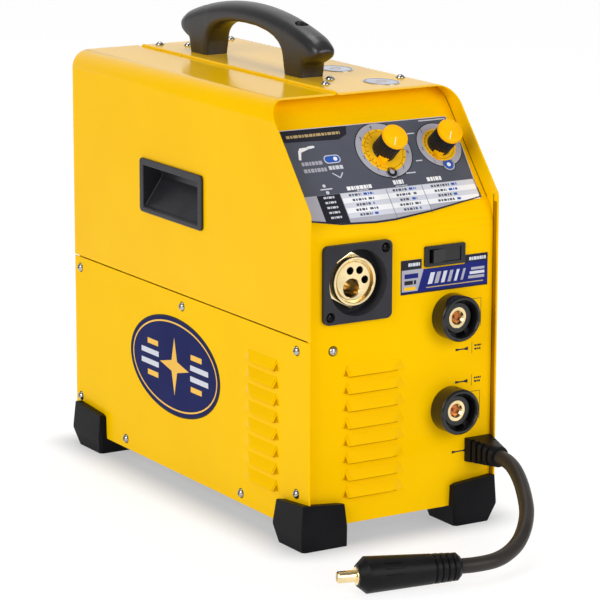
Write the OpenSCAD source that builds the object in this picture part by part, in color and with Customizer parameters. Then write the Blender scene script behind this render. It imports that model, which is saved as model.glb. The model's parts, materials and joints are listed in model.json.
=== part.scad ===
// Portable MIG welding machine with a wire bay under a top-hinged door.
// The front faces -Y, the door is on the -X side and +Z is up.
// The origin is on the floor, midway between the feet.

/* [Case] */
// Width over the two side panels
case_w = 186; // [182:1:190]
// Depth from the front edge to the rear edge
case_d = 416; // [414:1:420]
// Height of the roof above the floor
roof_z = 368; // [366:1:372]
// Height of the underside of the case above the floor
case_z = 14; // [13:0.5:15]
// How far the case sits to the right of the feet's centre line
case_x = 3; // [2.5:0.5:3.5]
// Thickness of the sheet steel
sheet = 1.2; // [1:0.1:1.3]
// Outer radius of the bends along both long roof edges
edge_r = 16; // [14:1:17]

/* [Front] */
// Height where the front edge of the case starts to slope back
brow_z = 283.5; // [282:0.5:285]
// How far back the sloping front edge runs on its way up to the roof
brow_run = 70; // [68:1:72]
// How far the lower front panel sits behind the front edge
panel_inset = 6; // [5.5:0.5:6.5]
// How far the sloping control face sits below the sloping edge
brow_inset = 15.5; // [15:0.5:16]
// Outer radius of the bend between the two front faces
brow_r = 30; // [28:1:32]

/* [Door] */
// Distance of the roof seam from the left side panel
seam_in = 70; // [68:1:72]
// Height of the lower edge of the door
door_z = 178.2; // [178:0.2:180]
// Radius of the hinge knuckles
knuckle_r = 2; // [1.8:0.1:2.2]
// Radius of the hinge pin
hinge_pin_r = 0.9; // [0.8:0.1:1]

/* [Louvres] */
// Number of louvres in each bank
louvre_count = 8; // [6:1:9]
// Distance from one louvre to the next
louvre_pitch = 14.85; // [14.5:0.05:15]
// Height of one pressed louvre
louvre_h = 9; // [8:0.5:9.5]
// How far a louvre stands out of the sheet
louvre_out = 4; // [3.5:0.25:4.5]
// Height of the lowest louvre's cut edge
louvre_z = 40; // [39:0.5:42]
// Length of a louvre in the front panel
front_louvre_w = 62; // [58:1:64]
// Length of a louvre in the side panels
side_louvre_w = 57; // [54:1:60]
// How far a louvre's open mouth leans along it, up the sheet
mouth_run = 4.9; // [4:0.1:5.5]
// How far a louvre's open mouth leans along it, out to its cut edge
mouth_lean = 6.6; // [5.5:0.1:7]
// Length over which a louvre's closed tail runs out into the sheet
tail_lean = 14; // [12:1:16]

/* [Sockets] */
// Centre of the torch socket across the case
torch_x = -42; // [-43:0.5:-41]
// Centre height of the torch socket
torch_z = 222.5; // [222:0.5:223]
// Side of the square flange of the torch socket
flange_w = 66; // [64:1:68]
// Radius of the bore of the two current sockets
contact_r = 4.6; // [4.55:0.05:4.65]
// Centre of both current sockets across the case
socket_x = 53; // [52:0.5:54]
// Centre height of the upper current socket
upper_z = 183; // [182:1:184]
// Centre height of the lower current socket
lower_z = 102.5; // [101:0.5:104]

/* [Wire feeder] */
// Radius of the driven feed roller
drive_r = 15; // [15:0.5:15.5]
// Radius of the pressure roller
idler_r = 12; // [11.5:0.5:12]
// Angle that the tension lever leans back when it is released
lever_lean = 50; // [45:1:50]
// Radius of the spool hub
hub_r = 25; // [24.5:0.1:25.4]

/* [Polarity lead] */
// Outer diameter of the lead
lead_d = 12.6; // [12:0.1:13.2]
// Radius of the plug's contact pin
plug_pin_r = 4.5; // [4.4:0.05:4.5]

/* [Hidden] */
$fn = 48;

// Case edges and faces
left_x = case_x - case_w/2;
right_x = case_x + case_w/2;
front_y = -case_d/2;
rear_y = case_d/2;
base_z = case_z + 3;
left_in = left_x + sheet;
right_in = right_x - sheet;
roof_in = roof_z - sheet;
gap = 0.3;
seam_x = left_x + seam_in;
slope = atan2(roof_z - brow_z, brow_run);
corner_r = 14;
brow_corner_r = 8;

// Front panel: a lower upright face, a bend and a sloping control face
panel_y = front_y + panel_inset;
panel_in = panel_y + sheet;
slope_y = front_y + brow_inset/sin(slope);
bend_y = panel_y + brow_r;
bend_z = brow_z + (sin(slope)*(bend_y - slope_y) - brow_r)/cos(slope);
rear_face = rear_y - panel_inset;
rear_in = rear_face - sheet;
face_r = edge_r - sheet - gap;

// Wire bay
shelf_z = 152;
divider_x = -5;
plate_x = divider_x - 6;
wire_x = torch_x - 2.4;
wire_z = torch_z - 6.1;
drive_y = -118;
drive_z = wire_z - 0.4 - drive_r;
idler_z = wire_z + 0.4 + idler_r;
arm_y = -148;
arm_z = 232;
lever_y = -84;
lever_z = 229;
hub_y = 88;
hub_z = 262;

// Control face, measured across and up the slope from the brow line
knob_u = 47.5;
left_knob_x = 12.8;
right_knob_x = 68;
label_t = 0.5;
plate_t = 0.6;

// Sockets, switches and badge
boss_r = 19.5;
boss_out = 17;
sleeve_r = 13.4;
sleeve_out = 10.4;
contact_out = 9.6;
switch_x = 45;
switch_z = 236.3;
badge_y = 19;
badge_z = 108;
cup_y0 = -34;
cup_y1 = 77;
cup_z0 = 240.7;
cup_z1 = 289;
fan_x = 41;
fan_z = 90;
mains_x = 50;
mains_z = 300;
gland_z = 245;
gas_z = 190;

flange_t = 4;
torch_bore_r = 6.7;
socket_deep = 26;
rocker_tilt = 8;
knob_low = 1.4;
knob_top = 18;
pointer_turn = 240;
plug_z = 15;
shaft_r = 5;
cheek_in = 6.5;
cheek_t = 3;
hub_end = -61.5;
barb_r = 4.5;
barb_out = 30;

// Feet: height of their widest level and of their outer corner
foot_wide = 14;
foot_top = 40;

// Louvres: places of the mouths, wall of the tail and sheet left in front of the mouth's slot
front_mouth_x = -55;
side_mouth_y = -160;
tail_run = 5;
tail_wall = 4;
mouth_lip = 1.5;
slot_edge = 0.4;

// Handle: centre line, leg places and grip arc
handle_x = 11;
handle_y = 50;
grip_r = 338;
grip_top = 422.2;
handle_hole_y = 79.3;

// Screw places: left side (y, z), roof (x, y), front and rear (x, z)
left_screws = [[197, 167], [5, 167], [-187.5, 167], [199, 44], [111, 23],
  [-96.5, 23], [-187.5, 45]];
roof_screws = [[-3, 200], [73, 200], [17, 182], [0, -86], [19, -63], [76, -86]];
front_screws = [[-64, 166.6]];
rear_screws = [[-78, 52], [88, 150], [-78, 340], [84, 340], [-78, 190]];
right_top_screws = [[197, 340], [-120, 340]];
flange_screws = [[torch_x + 26.7, torch_z + 26.7], [torch_x - 26.7, torch_z - 26.7]];
flange_sink = 2.6;

// Lead route from the strain relief to the back of the plug
lead_route = [[84, -232, 62.5], [84.4, -243, 61.2], [82.6, -256, 57.6], [77, -273, 51],
  [68, -292, 43], [59, -307, 36], [46, -322, 29], [32, -333, 22], [16, -341, 17.5],
  [0, -345.5, 15.5], [-18, -345.2, 15], [-31.6, -342.1, 15]];
plug_turn = 165.8;
plug_len = 86.3;
plug_pin_len = 16.5;

// Points along an arc, angles in degrees
function arc(cx, cy, r, a0, a1, n = 10) =
  [for (i = [0:n]) let (a = a0 + (a1 - a0)*i/n) [cx + r*cos(a), cy + r*sin(a)]];
function flip(list) = [for (i = [len(list) - 1:-1:0]) list[i]];

// Outline of the case seen from the side
function side_outline() = concat(
  [[rear_y, case_z], [rear_y, roof_z]],
  arc(front_y + brow_run + corner_r*tan(slope/2), roof_z - corner_r, corner_r,
    90, 90 + slope),
  arc(front_y + brow_corner_r, brow_z - brow_corner_r*tan(45 - slope/2),
    brow_corner_r, 90 + slope, 180, 6),
  [[front_y, case_z]]);

// Front panel line in side view, moved inwards by off, from height z0 to z1
function panel_line(off, z0, z1) = concat(
  [[panel_y + off, z0]],
  arc(bend_y, bend_z, brow_r - off, 180, 90 + slope),
  [[slope_y + off*sin(slope) + (z1 - brow_z + off*cos(slope))/tan(slope), z1]]);

module along_x(x0, x1) {
  translate([x0, 0, 0]) rotate([90, 0, 90]) linear_extrude(x1 - x0) children();
}
module along_y(y0, y1) {
  translate([0, y1, 0]) rotate([90, 0, 0]) linear_extrude(y1 - y0) children();
}
module box(low, high) {
  translate(low) cube(high - low);
}
// Frames whose local Z points out of the named face and local Y points up
module on_front(x, z, y = panel_y) {
  translate([x, y, z]) rotate([90, 0, 0]) children();
}
module on_rear(x, z, y = rear_face) {
  translate([x, y, z]) rotate([90, 0, 180]) children();
}
module on_left(y, z, x = left_x) {
  translate([x, y, z]) rotate([90, 0, -90]) children();
}
module on_right(y, z, x = right_x) {
  translate([x, y, z]) rotate([90, 0, 90]) children();
}
module on_slope(x, u) {
  translate([x, slope_y + u*cos(slope), brow_z + u*sin(slope)])
    rotate([slope, 0, 0]) children();
}
// Rectangle with round corners, centred
module round_rect(w, h, r) {
  square([w - 2*r, h], center = true);
  square([w, h - 2*r], center = true);
  for (sx = [-1, 1], sy = [-1, 1])
    translate([sx*(w/2 - r), sy*(h/2 - r)]) circle(r);
}
// Case section seen from the front, moved inwards by off, with round top corners
module case_block(off, r) {
  x0 = left_x + off;
  x1 = right_x - off;
  top = roof_z - off;
  translate([x0, case_z - 5]) square([x1 - x0, top - r - case_z + 5]);
  translate([x0 + r, case_z]) square([x1 - x0 - 2*r, top - case_z]);
  for (x = [x0 + r, x1 - r]) translate([x, top - r]) circle(r);
}
module case_skin() {
  difference() {
    case_block(0, edge_r);
    case_block(sheet, edge_r - sheet);
  }
}
// Solid of the whole case outline, used to trim the bent sheets
module case_prism() {
  along_x(left_x - 1, right_x + 1) polygon(side_outline());
}
// Wedge between a slanted mouth at x0 and a tail at x1, its sloping roof lowered by drop.
// It starts at y0 and z0
module louvre_wedge(x0, x1, y0, z0, drop = 0) {
  fall = louvre_out/louvre_h;
  corners = [[y0, z0], [louvre_h - (drop + z0)/fall, z0], [y0, louvre_out - drop - fall*y0]];
  near = [for (c = corners) [x0 + mouth_run*c[0]/louvre_h + mouth_lean*c[1]/louvre_out,
    c[0], c[1]]];
  far = [for (c = corners) [x1 - tail_run*c[0]/louvre_h - tail_lean*c[1]/louvre_out,
    c[0], c[1]]];
  polyhedron(points = concat(near, far),
    faces = [[0, 1, 2], [3, 5, 4], [0, 3, 4, 1], [0, 2, 5, 3], [1, 4, 5, 2]]);
}
// One pressed louvre: local X from its open mouth to its closed tail, Y up from its cut
// edge, Z outwards
module louvre(w) {
  difference() {
    louvre_wedge(0, w, 0, -sheet/3);
    louvre_wedge(-w/2, w - tail_wall, -1, -1, sheet);
  }
}
// Hole behind one louvre, a little smaller than the space under its roof
module louvre_slot(w) {
  part = 1 - sheet/louvre_out - slot_edge/louvre_h;
  end = w - tail_wall - slot_edge;
  translate([0, 0, -sheet - 1]) linear_extrude(sheet + 1) polygon([[mouth_lip, 0],
    [end, 0], [end - tail_run*part, louvre_h*part],
    [mouth_lip + mouth_run*part, louvre_h*part]]);
}
// Domed head of one case screw
module screw_head() {
  difference() {
    rotate_extrude() polygon(concat([[0, 0], [3.9, 0]], arc(0.6, -0.6, 3.3, 20, 90, 6),
      [[0, 2.7]]));
    for (a = [0, 90]) rotate([0, 0, a]) translate([-1.8, -0.4, 1.4]) cube([3.6, 0.8, 2]);
  }
}

// ---- Case shells ----

module base_chassis() {
  top = case_z + 16;
  color([0.72, 0.73, 0.74]) difference() {
    box([left_in, panel_in, base_z], [right_in, rear_in, top]);
    box([left_in + sheet, panel_in + sheet, base_z + sheet],
      [right_in - sheet, rear_in - sheet, top + 1]);
    for (i = [0:4]) box([-70, -20 + i*16, base_z - 1], [-20, -14 + i*16, base_z + sheet + 1]);
  }
}

module front_panel() {
  top = roof_in - 1.4;
  color([0.97, 0.77, 0]) {
    difference() {
      intersection() {
        along_x(left_in + gap, right_in - gap)
          polygon(concat(panel_line(0, base_z, top), flip(panel_line(sheet, base_z, top))));
        along_y(front_y, 0) case_block(sheet + gap, face_r);
      }
      on_front(torch_x, torch_z) translate([0, 0, -2]) cylinder(r = 30.2, h = 4);
      for (z = [upper_z, lower_z]) on_front(socket_x, z)
        translate([0, 0, -2]) cylinder(r = 13, h = 4);
      on_front(switch_x, switch_z) translate([-18, -7, -2]) cube([36, 14, 4]);
      on_front(81, 64.6) translate([-9, -7, -2]) cube([18, 14, 4]);
      for (x = [left_knob_x, right_knob_x]) on_slope(x, knob_u)
        translate([0, 0, -2]) cylinder(r = 4.6, h = 4);
      for (i = [0:louvre_count - 1])
        on_front(front_mouth_x, louvre_z + i*louvre_pitch) louvre_slot(front_louvre_w);
    }
    for (i = [0:louvre_count - 1])
      on_front(front_mouth_x, louvre_z + i*louvre_pitch) louvre(front_louvre_w);
  }
}

module rear_panel() {
  color([0.97, 0.77, 0]) difference() {
    intersection() {
      box([left_in + gap, rear_in, base_z], [right_in - gap, rear_face, roof_in - gap]);
      along_y(0, rear_y) case_block(sheet + gap, face_r);
    }
    on_rear(fan_x, fan_z) translate([0, 0, -2]) linear_extrude(4) fan_slots();
    on_rear(mains_x, mains_z) translate([-14, -10, -2]) cube([28, 20, 4]);
    on_rear(mains_x, gland_z) translate([0, 0, -2]) cylinder(r = 10, h = 4);
    on_rear(mains_x, gas_z) translate([0, 0, -2]) cylinder(r = 6, h = 4);
  }
}
// Punched rings of slots in front of the fan
module fan_slots() {
  for (r = [10, 18, 26, 34]) difference() {
    circle(r + 2.6);
    circle(r - 2.6);
    for (a = [0:60:120]) rotate(a) square([90, 5], center = true);
  }
}

module roof_side_cover() {
  color([0.97, 0.77, 0]) {
    difference() {
      intersection() {
        along_y(front_y, rear_y) intersection() {
          case_skin();
          translate([seam_x + knuckle_r + gap, case_z]) square([case_w, roof_z]);
        }
        case_prism();
      }
      for (i = [0:louvre_count - 1])
        on_right(side_mouth_y, louvre_z + i*louvre_pitch) louvre_slot(side_louvre_w);
    }
    for (i = [0:louvre_count - 1])
      on_right(side_mouth_y, louvre_z + i*louvre_pitch) louvre(side_louvre_w);
  }
}

module lower_left_panel() {
  color([0.97, 0.77, 0]) {
    difference() {
      box([left_x, front_y, case_z], [left_in, rear_y, door_z - 1.2]);
      for (i = [0:louvre_count - 1])
        on_left(side_mouth_y, louvre_z + i*louvre_pitch)
          mirror([1, 0, 0]) louvre_slot(side_louvre_w);
    }
    for (i = [0:louvre_count - 1])
      on_left(side_mouth_y, louvre_z + i*louvre_pitch)
        mirror([1, 0, 0]) louvre(side_louvre_w);
  }
}

// One bent sheet: an upright wall with a shelf under the wire bay
module inner_divider() {
  top = roof_in - gap;
  color([0.72, 0.73, 0.74]) difference() {
    union() {
      along_x(divider_x, divider_x + sheet) polygon(concat(
        panel_line(sheet, shelf_z, top), [[rear_in, top], [rear_in, shelf_z]]));
      box([left_in, panel_in, shelf_z], [divider_x + sheet, rear_in, shelf_z + sheet]);
      box([left_in, -96, shelf_z - 12], [left_in + sheet, rear_in, shelf_z]);
    }
    translate([divider_x - 1, drive_y, drive_z]) rotate([0, 90, 0]) cylinder(r = 6, h = 4);
  }
}

module wire_door() {
  color([0.97, 0.77, 0]) {
    difference() {
      intersection() {
        along_y(front_y, rear_y) intersection() {
          case_skin();
          translate([left_x - 1, door_z])
            square([seam_x - knuckle_r - gap - left_x + 1, roof_z]);
        }
        case_prism();
      }
      box([left_x - 1, cup_y0 + 3, cup_z0 + 3], [left_in + 1, cup_y1 - 3, cup_z1 - 3]);
    }
    box([left_in, panel_y + 8, door_z], [left_in + 11, rear_in - 6, door_z + sheet]);
  }
}

// ---- Door furniture ----

// Recessed pull: bezel, and a pocket that is deepest under its upper lip
module door_pull_cup() {
  mid_y = (cup_y0 + cup_y1)/2;
  mid_z = (cup_z0 + cup_z1)/2;
  w = cup_y1 - cup_y0;
  h = cup_z1 - cup_z0;
  deep = 17;
  color([0.15, 0.15, 0.16]) difference() {
    union() {
      on_left(mid_y, mid_z) linear_extrude(2.4) round_rect(w, h, 4);
      along_y(cup_y0 + 3.4, cup_y1 - 3.4) polygon([[left_x, cup_z0 + 3.4],
        [left_x + 4, cup_z0 + 3.4], [left_x + deep + 1.6, cup_z1 - 18],
        [left_x + deep + 1.6, cup_z1 - 3.4], [left_x, cup_z1 - 3.4]]);
    }
    along_y(cup_y0 + 7, cup_y1 - 7) polygon([[left_x - 3, cup_z0 + 4],
      [left_x, cup_z0 + 6], [left_x + deep, cup_z1 - 18],
      [left_x + deep, cup_z1 - 6], [left_x - 3, cup_z1 - 6]]);
  }
}

hinge_y0 = -132;
hinge_y1 = 200;
knuckle_count = 9;
knuckle_len = (hinge_y1 - hinge_y0)/knuckle_count;
// Leaf under the roof sheet with every second knuckle, side is -1 or 1
module hinge_leaf(side, first) {
  reach = knuckle_r + gap;
  low = roof_z - sheet - 1;
  difference() {
    union() {
      box([min(side*reach, side*14) + seam_x, hinge_y0, low],
        [max(side*reach, side*14) + seam_x, hinge_y1, roof_z - sheet]);
      for (i = [first:2:knuckle_count - 1]) {
        y0 = hinge_y0 + i*knuckle_len + 0.2;
        y1 = y0 + knuckle_len - 0.4;
        box([min(0, side*reach) + seam_x, y0, roof_z - knuckle_r],
          [max(0, side*reach) + seam_x, y1, roof_z - sheet]);
        along_y(y0, y1) translate([seam_x, roof_z]) circle(knuckle_r);
      }
    }
    along_y(hinge_y0 - 1, hinge_y1 + 1) translate([seam_x, roof_z]) circle(hinge_pin_r + 0.05);
  }
}
module hinge_fixed_leaf() {
  color([0.97, 0.77, 0]) {
    hinge_leaf(1, 0);
    along_y(hinge_y0 + 0.2, hinge_y1 - 0.2) translate([seam_x, roof_z]) circle(hinge_pin_r);
    for (i = [0:2:knuckle_count - 1]) {
      y0 = hinge_y0 + i*knuckle_len + 0.2;
      along_y(y0, y0 + 3) translate([seam_x, roof_z]) circle(hinge_pin_r + 0.06);
    }
  }
}
module hinge_door_leaf() {
  color([0.97, 0.77, 0]) hinge_leaf(-1, 1);
}

// Two magnetic catches that stand on the shelf under the door's lower lip
module door_catches() {
  color([0.2, 0.2, 0.22]) for (y = [-150, 150]) {
    difference() {
      box([left_in, y - 14, shelf_z + sheet], [left_in + 9, y + 14, door_z - 2]);
      box([left_in + 3, y - 9, door_z - 5], [left_in + 6, y + 9, door_z]);
    }
    box([left_in + 3, y - 9, door_z - 5], [left_in + 6, y + 9, door_z - 0.4]);
  }
}

// Stations of the handle from its middle to one end:
// distance, underside, top, half width below, half width above
function grip_z(s) = grip_top - grip_r + sqrt(grip_r*grip_r - s*s);
handle_half = [
  [0, 404.4, grip_z(0), 12.2, 13],
  [20, 403.8, grip_z(20), 12.2, 13],
  [38, 401.2, grip_z(38), 12.2, 13],
  [52, 397.2, grip_z(52), 12.2, 13],
  [60, 393.4, grip_z(60), 12, 13],
  [65, 388, grip_z(65), 11.6, 13],
  [68.5, 379.5, grip_z(68.5), 9.6, 13],
  [71, roof_z, grip_z(71), 8.6, 12.8],
  [74.5, roof_z, grip_z(74.5), 10.8, 12.8],
  [89.5, roof_z, grip_z(89.5), 10.8, 12.8],
  [93, roof_z, grip_z(93), 8.6, 12.8],
  [94.5, 374.5, grip_z(94.5), 9.6, 12.8],
  [98, 378.6, grip_z(98), 11.4, 12.8],
  [105, 381.8, grip_z(105), 11.8, 12.6],
  [112, 384.6, grip_z(112) - 0.8, 11, 12],
  [117, 387.6, grip_z(117) - 3.2, 9.6, 10.4],
  [120, 391, grip_z(120) - 5.6, 7.4, 7.6]];
function bend(cx, cz, r, a0, n, s) =
  [for (i = [0:n]) let (a = a0 + i*90/n) [handle_x + cx + r*cos(a), s, cz + r*sin(a)]];
function section(p, sign) = let (s = handle_y + sign*p[0], h = p[2] - p[1],
    r = min(9.4, h/1.9, p[4] - 0.5), q = p[1] == roof_z ? 0.8 : min(4.4, h/4)) concat(
  bend(p[4] - r, p[2] - r, r, 0, 4, s), bend(r - p[4], p[2] - r, r, 90, 4, s),
  bend(q - p[3], p[1] + q, q, 180, 2, s), bend(p[3] - q, p[1] + q, q, 270, 2, s));
module carry_handle() {
  n = len(handle_half);
  rings = concat([for (i = [n - 1:-1:1]) section(handle_half[i], -1)],
    [for (i = [0:n - 1]) section(handle_half[i], 1)]);
  m = len(rings[0]);
  k = len(rings);
  color([0.16, 0.16, 0.17]) difference() {
    polyhedron(
      points = [for (ring = rings) each ring],
      faces = concat(
        [[for (j = [0:m - 1]) j]],
        [[for (j = [m - 1:-1:0]) (k - 1)*m + j]],
        [for (i = [0:k - 2], j = [0:m - 1], h = [0, 1])
          let (a = i*m + j, b = i*m + (j + 1) % m)
          h == 0 ? [a, a + m, b] : [b, a + m, b + m]]));
    for (side = [-1, 1]) translate([handle_x, handle_y + side*handle_hole_y, roof_z + 14])
      cylinder(r = 6, h = 50);
  }
}

// Moulded corner bumper: widest a little above the floor, cut away round the case.
// low and high are how far its left, right, front and rear sides lean in below and above
module foot(x0, x1, y0, y1, low, high, out_x, out_y) {
  blunt = 2.4;
  tip = 3;
  left = x0 + high[0];
  right = x1 - high[1] - tip;
  front = y0 + high[2];
  rear = y1 - high[3] - tip;
  color([0.16, 0.16, 0.17]) difference() {
    hull() {
      box([x0 + low[0], y0 + low[2] + blunt, 0], [x1 - low[1], y1 - low[3], 1]);
      box([x0 + low[0] + blunt, y0 + low[2], 0], [x1 - low[1], y1 - low[3], 1]);
      box([x0 + blunt, y0, foot_wide], [x1 - blunt, y1, foot_wide + 3]);
      box([x0, y0 + blunt, foot_wide], [x1, y1 - blunt, foot_wide + 3]);
      for (s = [[1, 1, 1], [-1, 1, 4.5], [1, -1, 4.5]])
        translate([s[0]*out_x < 0 ? left : right, s[1]*out_y < 0 ? front : rear,
          foot_top - s[2]]) cube([tip, tip, 1]);
    }
    box([left_x, -rear_face, base_z], [right_x, rear_face, 90]);
    box([left_x, front_y, case_z], [left_in + 0.2, rear_y, 90]);
    box([right_in - 0.2, front_y, case_z], [right_x, rear_y, 90]);
    box([left_x, rear_face - 1, base_z], [right_x, rear_y + 10, 90]);
  }
}
module front_left_foot() {
  foot(-97.5, -52.5, -210, -159.5, [0.8, 1.5, 0.6, 11], [0.8, 3.7, 1, 6.8], -1, -1);
}
module front_right_foot() {
  foot(53, 98.2, -210, -159.5, [1.5, 10, 0.6, 11], [0.8, 3, 1, 6.8], 1, -1);
}
module rear_left_foot() {
  foot(-97.5, -52.5, 148.6, 204, [1.2, 1.5, 0.5, 14], [0.8, 3.7, 1, 6], -1, 1);
}
module rear_right_foot() {
  foot(53, 98.2, 148.6, 204, [1.5, 10, 0.5, 14], [0.8, 3, 1, 6], 1, 1);
}

// ---- Labels and plates ----

// Thin printed panel that follows the bend at the brow
module control_label() {
  low = bend_z - 3;
  color([0.36, 0.37, 0.41]) difference() {
    intersection() {
      along_x(left_in + gap, right_in - gap)
        polygon(concat(panel_line(-label_t, low, 345), flip(panel_line(0, low, 345))));
      on_slope(0, 0) translate([0, 0, -20]) linear_extrude(30) polygon([[-79.6, 75.4],
        [85.8, 74.3], [90.6, 45.8], [88.8, 11.8], [89.4, -5.8], [67.8, -9], [34.9, -14.1],
        [-1.8, -17.9], [-21.1, -18.3], [-54.4, -16.5], [-83.3, -10.9], [-79.7, 12]]);
    }
    for (x = [left_knob_x, right_knob_x]) on_slope(x, knob_u)
      translate([0, 0, -2]) cylinder(r = 4.6, h = 4);
  }
}

module name_plate() {
  color([0.16, 0.2, 0.5]) on_front(0, 0) linear_extrude(plate_t) difference() {
    union() {
      translate([2, 206]) square([87, 20]);
      translate([2, 206]) square([20.3, 29]);
      translate([66, 206]) square([23, 27.6]);
    }
    translate([switch_x - 21, switch_z - 9.6]) square([42, 30]);
  }
}

module side_badge() {
  color([0.12, 0.16, 0.42]) on_left(badge_y, badge_z) linear_extrude(plate_t)
    polygon([for (a = [0:4:356]) [81*cos(a), 47*sin(a)]]);
}

module roof_badges() {
  color([0.75, 0.76, 0.78]) for (p = [[48, -99], [55, -14]])
    translate([p[0], p[1], roof_z]) linear_extrude(0.4)
      polygon([for (a = [0:8:352]) [14.5*cos(a), 19.5*sin(a)]]);
}

module case_screws() {
  color([0.82, 0.82, 0.82]) {
    for (p = left_screws) on_left(p[0], p[1]) screw_head();
    for (p = concat(left_screws, right_top_screws)) on_right(p[0], p[1]) screw_head();
    for (p = roof_screws) translate([p[0], p[1], roof_z]) screw_head();
    for (p = front_screws) on_front(p[0], p[1]) screw_head();
    for (p = rear_screws) on_rear(p[0], p[1]) screw_head();
    for (p = flange_screws)
      on_front(p[0], p[1], panel_y - flange_t + flange_sink) screw_head();
  }
}

// ---- Sockets ----

module torch_socket_housing() {
  color([0.15, 0.15, 0.16]) difference() {
    on_front(torch_x, torch_z) union() {
      linear_extrude(flange_t) round_rect(flange_w, flange_w, 5);
      translate([0, 0, -16]) cylinder(r = 30, h = 17);
    }
    on_front(torch_x, torch_z) translate([0, 0, -12]) cylinder(r = 28, h = 20);
    on_front(torch_x, torch_z) translate([0, 0, -20]) cylinder(r = 16, h = 20);
    for (p = flange_screws) on_front(p[0], p[1], panel_y - flange_t + flange_sink)
      cylinder(r = 4.3, h = flange_sink + 1);
  }
}

// Brass body: six-sided shoulder, round face and a long rear stem
module torch_socket_body() {
  color([0.78, 0.62, 0.32]) on_front(torch_x, torch_z) difference() {
    union() {
      translate([0, 0, -12]) cylinder(r = 25.5, h = 4, $fn = 6);
      translate([0, 0, -12]) cylinder(r = 20.5, h = 10.4);
      translate([0, 0, -40]) cylinder(r = 15.9, h = 30);
      translate([0, 0, -22]) cylinder(r = 24, h = 6, $fn = 6);
    }
    translate([-2.4, -6.1, -28]) cylinder(r = torch_bore_r, h = 40);
    translate([-2.4, -6.1, -50]) cylinder(r = 3.2, h = 60);
    for (p = [[-3.9, 8.7], [5.3, 8.2], [10.4, 0.1]])
      translate([p[0], p[1], -16]) cylinder(r = 3.1, h = 30);
  }
}

// Round boss with a sunk inner sleeve, a ring-shaped recess and a key in the recess
module current_socket_housing(z) {
  color([0.15, 0.15, 0.16]) on_front(socket_x, z) {
    difference() {
      union() {
        rotate_extrude() polygon([[0, 0], [boss_r, 0], [boss_r, boss_out - 1.4],
          [boss_r - 1.4, boss_out], [0, boss_out]]);
        translate([0, 0, -6]) cylinder(r = 12.8, h = 7);
      }
      rotate_extrude() polygon([[0, sleeve_out], [sleeve_r - 0.8, sleeve_out],
        [sleeve_r, sleeve_out - 0.8], [sleeve_r, 4], [15.4, 4], [15.9, boss_out - 1],
        [17, boss_out + 1], [0, boss_out + 1]]);
      translate([0, 0, -10]) cylinder(r = 9, h = 40);
    }
    rotate([0, 0, -52]) translate([sleeve_r - 0.3, -2.2, 3.9]) cube([2.5, 4.4, 6]);
  }
}
module current_socket_contact(z) {
  color([0.8, 0.63, 0.3]) on_front(socket_x, z) difference() {
    union() {
      translate([0, 0, -24]) cylinder(r = 8.95, h = contact_out + 24);
      translate([0, 0, -12]) cylinder(r = 16, h = 6, $fn = 6);
    }
    translate([0, 0, contact_out - socket_deep]) cylinder(r = contact_r, h = socket_deep + 1);
    translate([0, 0, contact_out - 2]) rotate_extrude() polygon([[0, 0], [contact_r, 0],
      [contact_r + 1.6, 2], [contact_r + 1.6, 3], [0, 3]]);
  }
}
module upper_socket_housing() {
  current_socket_housing(upper_z);
}
module upper_socket_contact() {
  current_socket_contact(upper_z);
}
module lower_socket_housing() {
  current_socket_housing(lower_z);
}
module lower_socket_contact() {
  current_socket_contact(lower_z);
}

// ---- Rocker switches: local X along the rocker, Z out of the panel ----

module switch_body(bezel_l, bezel_w, l, w) {
  difference() {
    union() {
      linear_extrude(2.2) round_rect(bezel_l, bezel_w, 1.5);
      translate([-bezel_l/2 + 2.6, -w/2 - 1, -22]) cube([bezel_l - 5.2, w + 2, 22.5]);
      for (s = [-1, 0, 1]) translate([s*l/3 - 1.5, -0.4, -30]) cube([3, 0.8, 9]);
    }
    translate([-l/2 - 1, -w/2 - 0.3, -8.5]) cube([l + 2, w + 0.6, 20]);
    translate([0, 0, -3]) rotate([90, 0, 0]) cylinder(r = 1.25, h = w + 1.6, center = true);
  }
}
// Two flats that meet in a shallow valley, on a pivot pin across the switch
module switch_rocker(l, w) {
  translate([0, 0, -3]) rotate([0, rocker_tilt, 0]) translate([0, 0, 3])
    rotate([90, 0, 0]) {
      linear_extrude(w, center = true) polygon([[-l/2 + 0.2, 3.2], [0, 1.1],
        [l/2 - 0.2, 3.2], [l/2 - 1.5, -4.5], [0, -7], [-l/2 + 1.5, -4.5]]);
      translate([0, -3, 0]) cylinder(r = 1.2, h = w + 1.4, center = true);
    }
}
module mode_switch_body() {
  color([0.13, 0.13, 0.14]) on_front(switch_x, switch_z) switch_body(40.3, 17.5, 30, 11);
}
module mode_switch_rocker() {
  color([0.1, 0.1, 0.1]) on_front(switch_x, switch_z) switch_rocker(30, 11);
}
module mains_switch_body() {
  color([0.13, 0.13, 0.14]) on_rear(mains_x, mains_z) switch_body(32.8, 24, 24, 17.5);
}
module mains_switch_rocker() {
  color([0.75, 0.1, 0.08]) on_rear(mains_x, mains_z) switch_rocker(24, 17.5);
}

// ---- Control knobs and their board ----

// Ribbed skirt, hollow below, local Z out of the control face
module knob(x) {
  color([0.13, 0.13, 0.14]) on_slope(x, knob_u) difference() {
    union() {
      translate([0, 0, knob_low]) cylinder(r = 12, h = 2.2);
      translate([0, 0, knob_low + 2]) linear_extrude(knob_top - knob_low - 2) difference() {
        circle(11.5);
        for (a = [0:20:340]) rotate(a) translate([12.3, 0]) circle(1.4);
      }
    }
    translate([0, 0, knob_low - 1]) cylinder(r = 8, h = 5);
    cylinder(r = 3, h = 17);
  }
}
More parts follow.
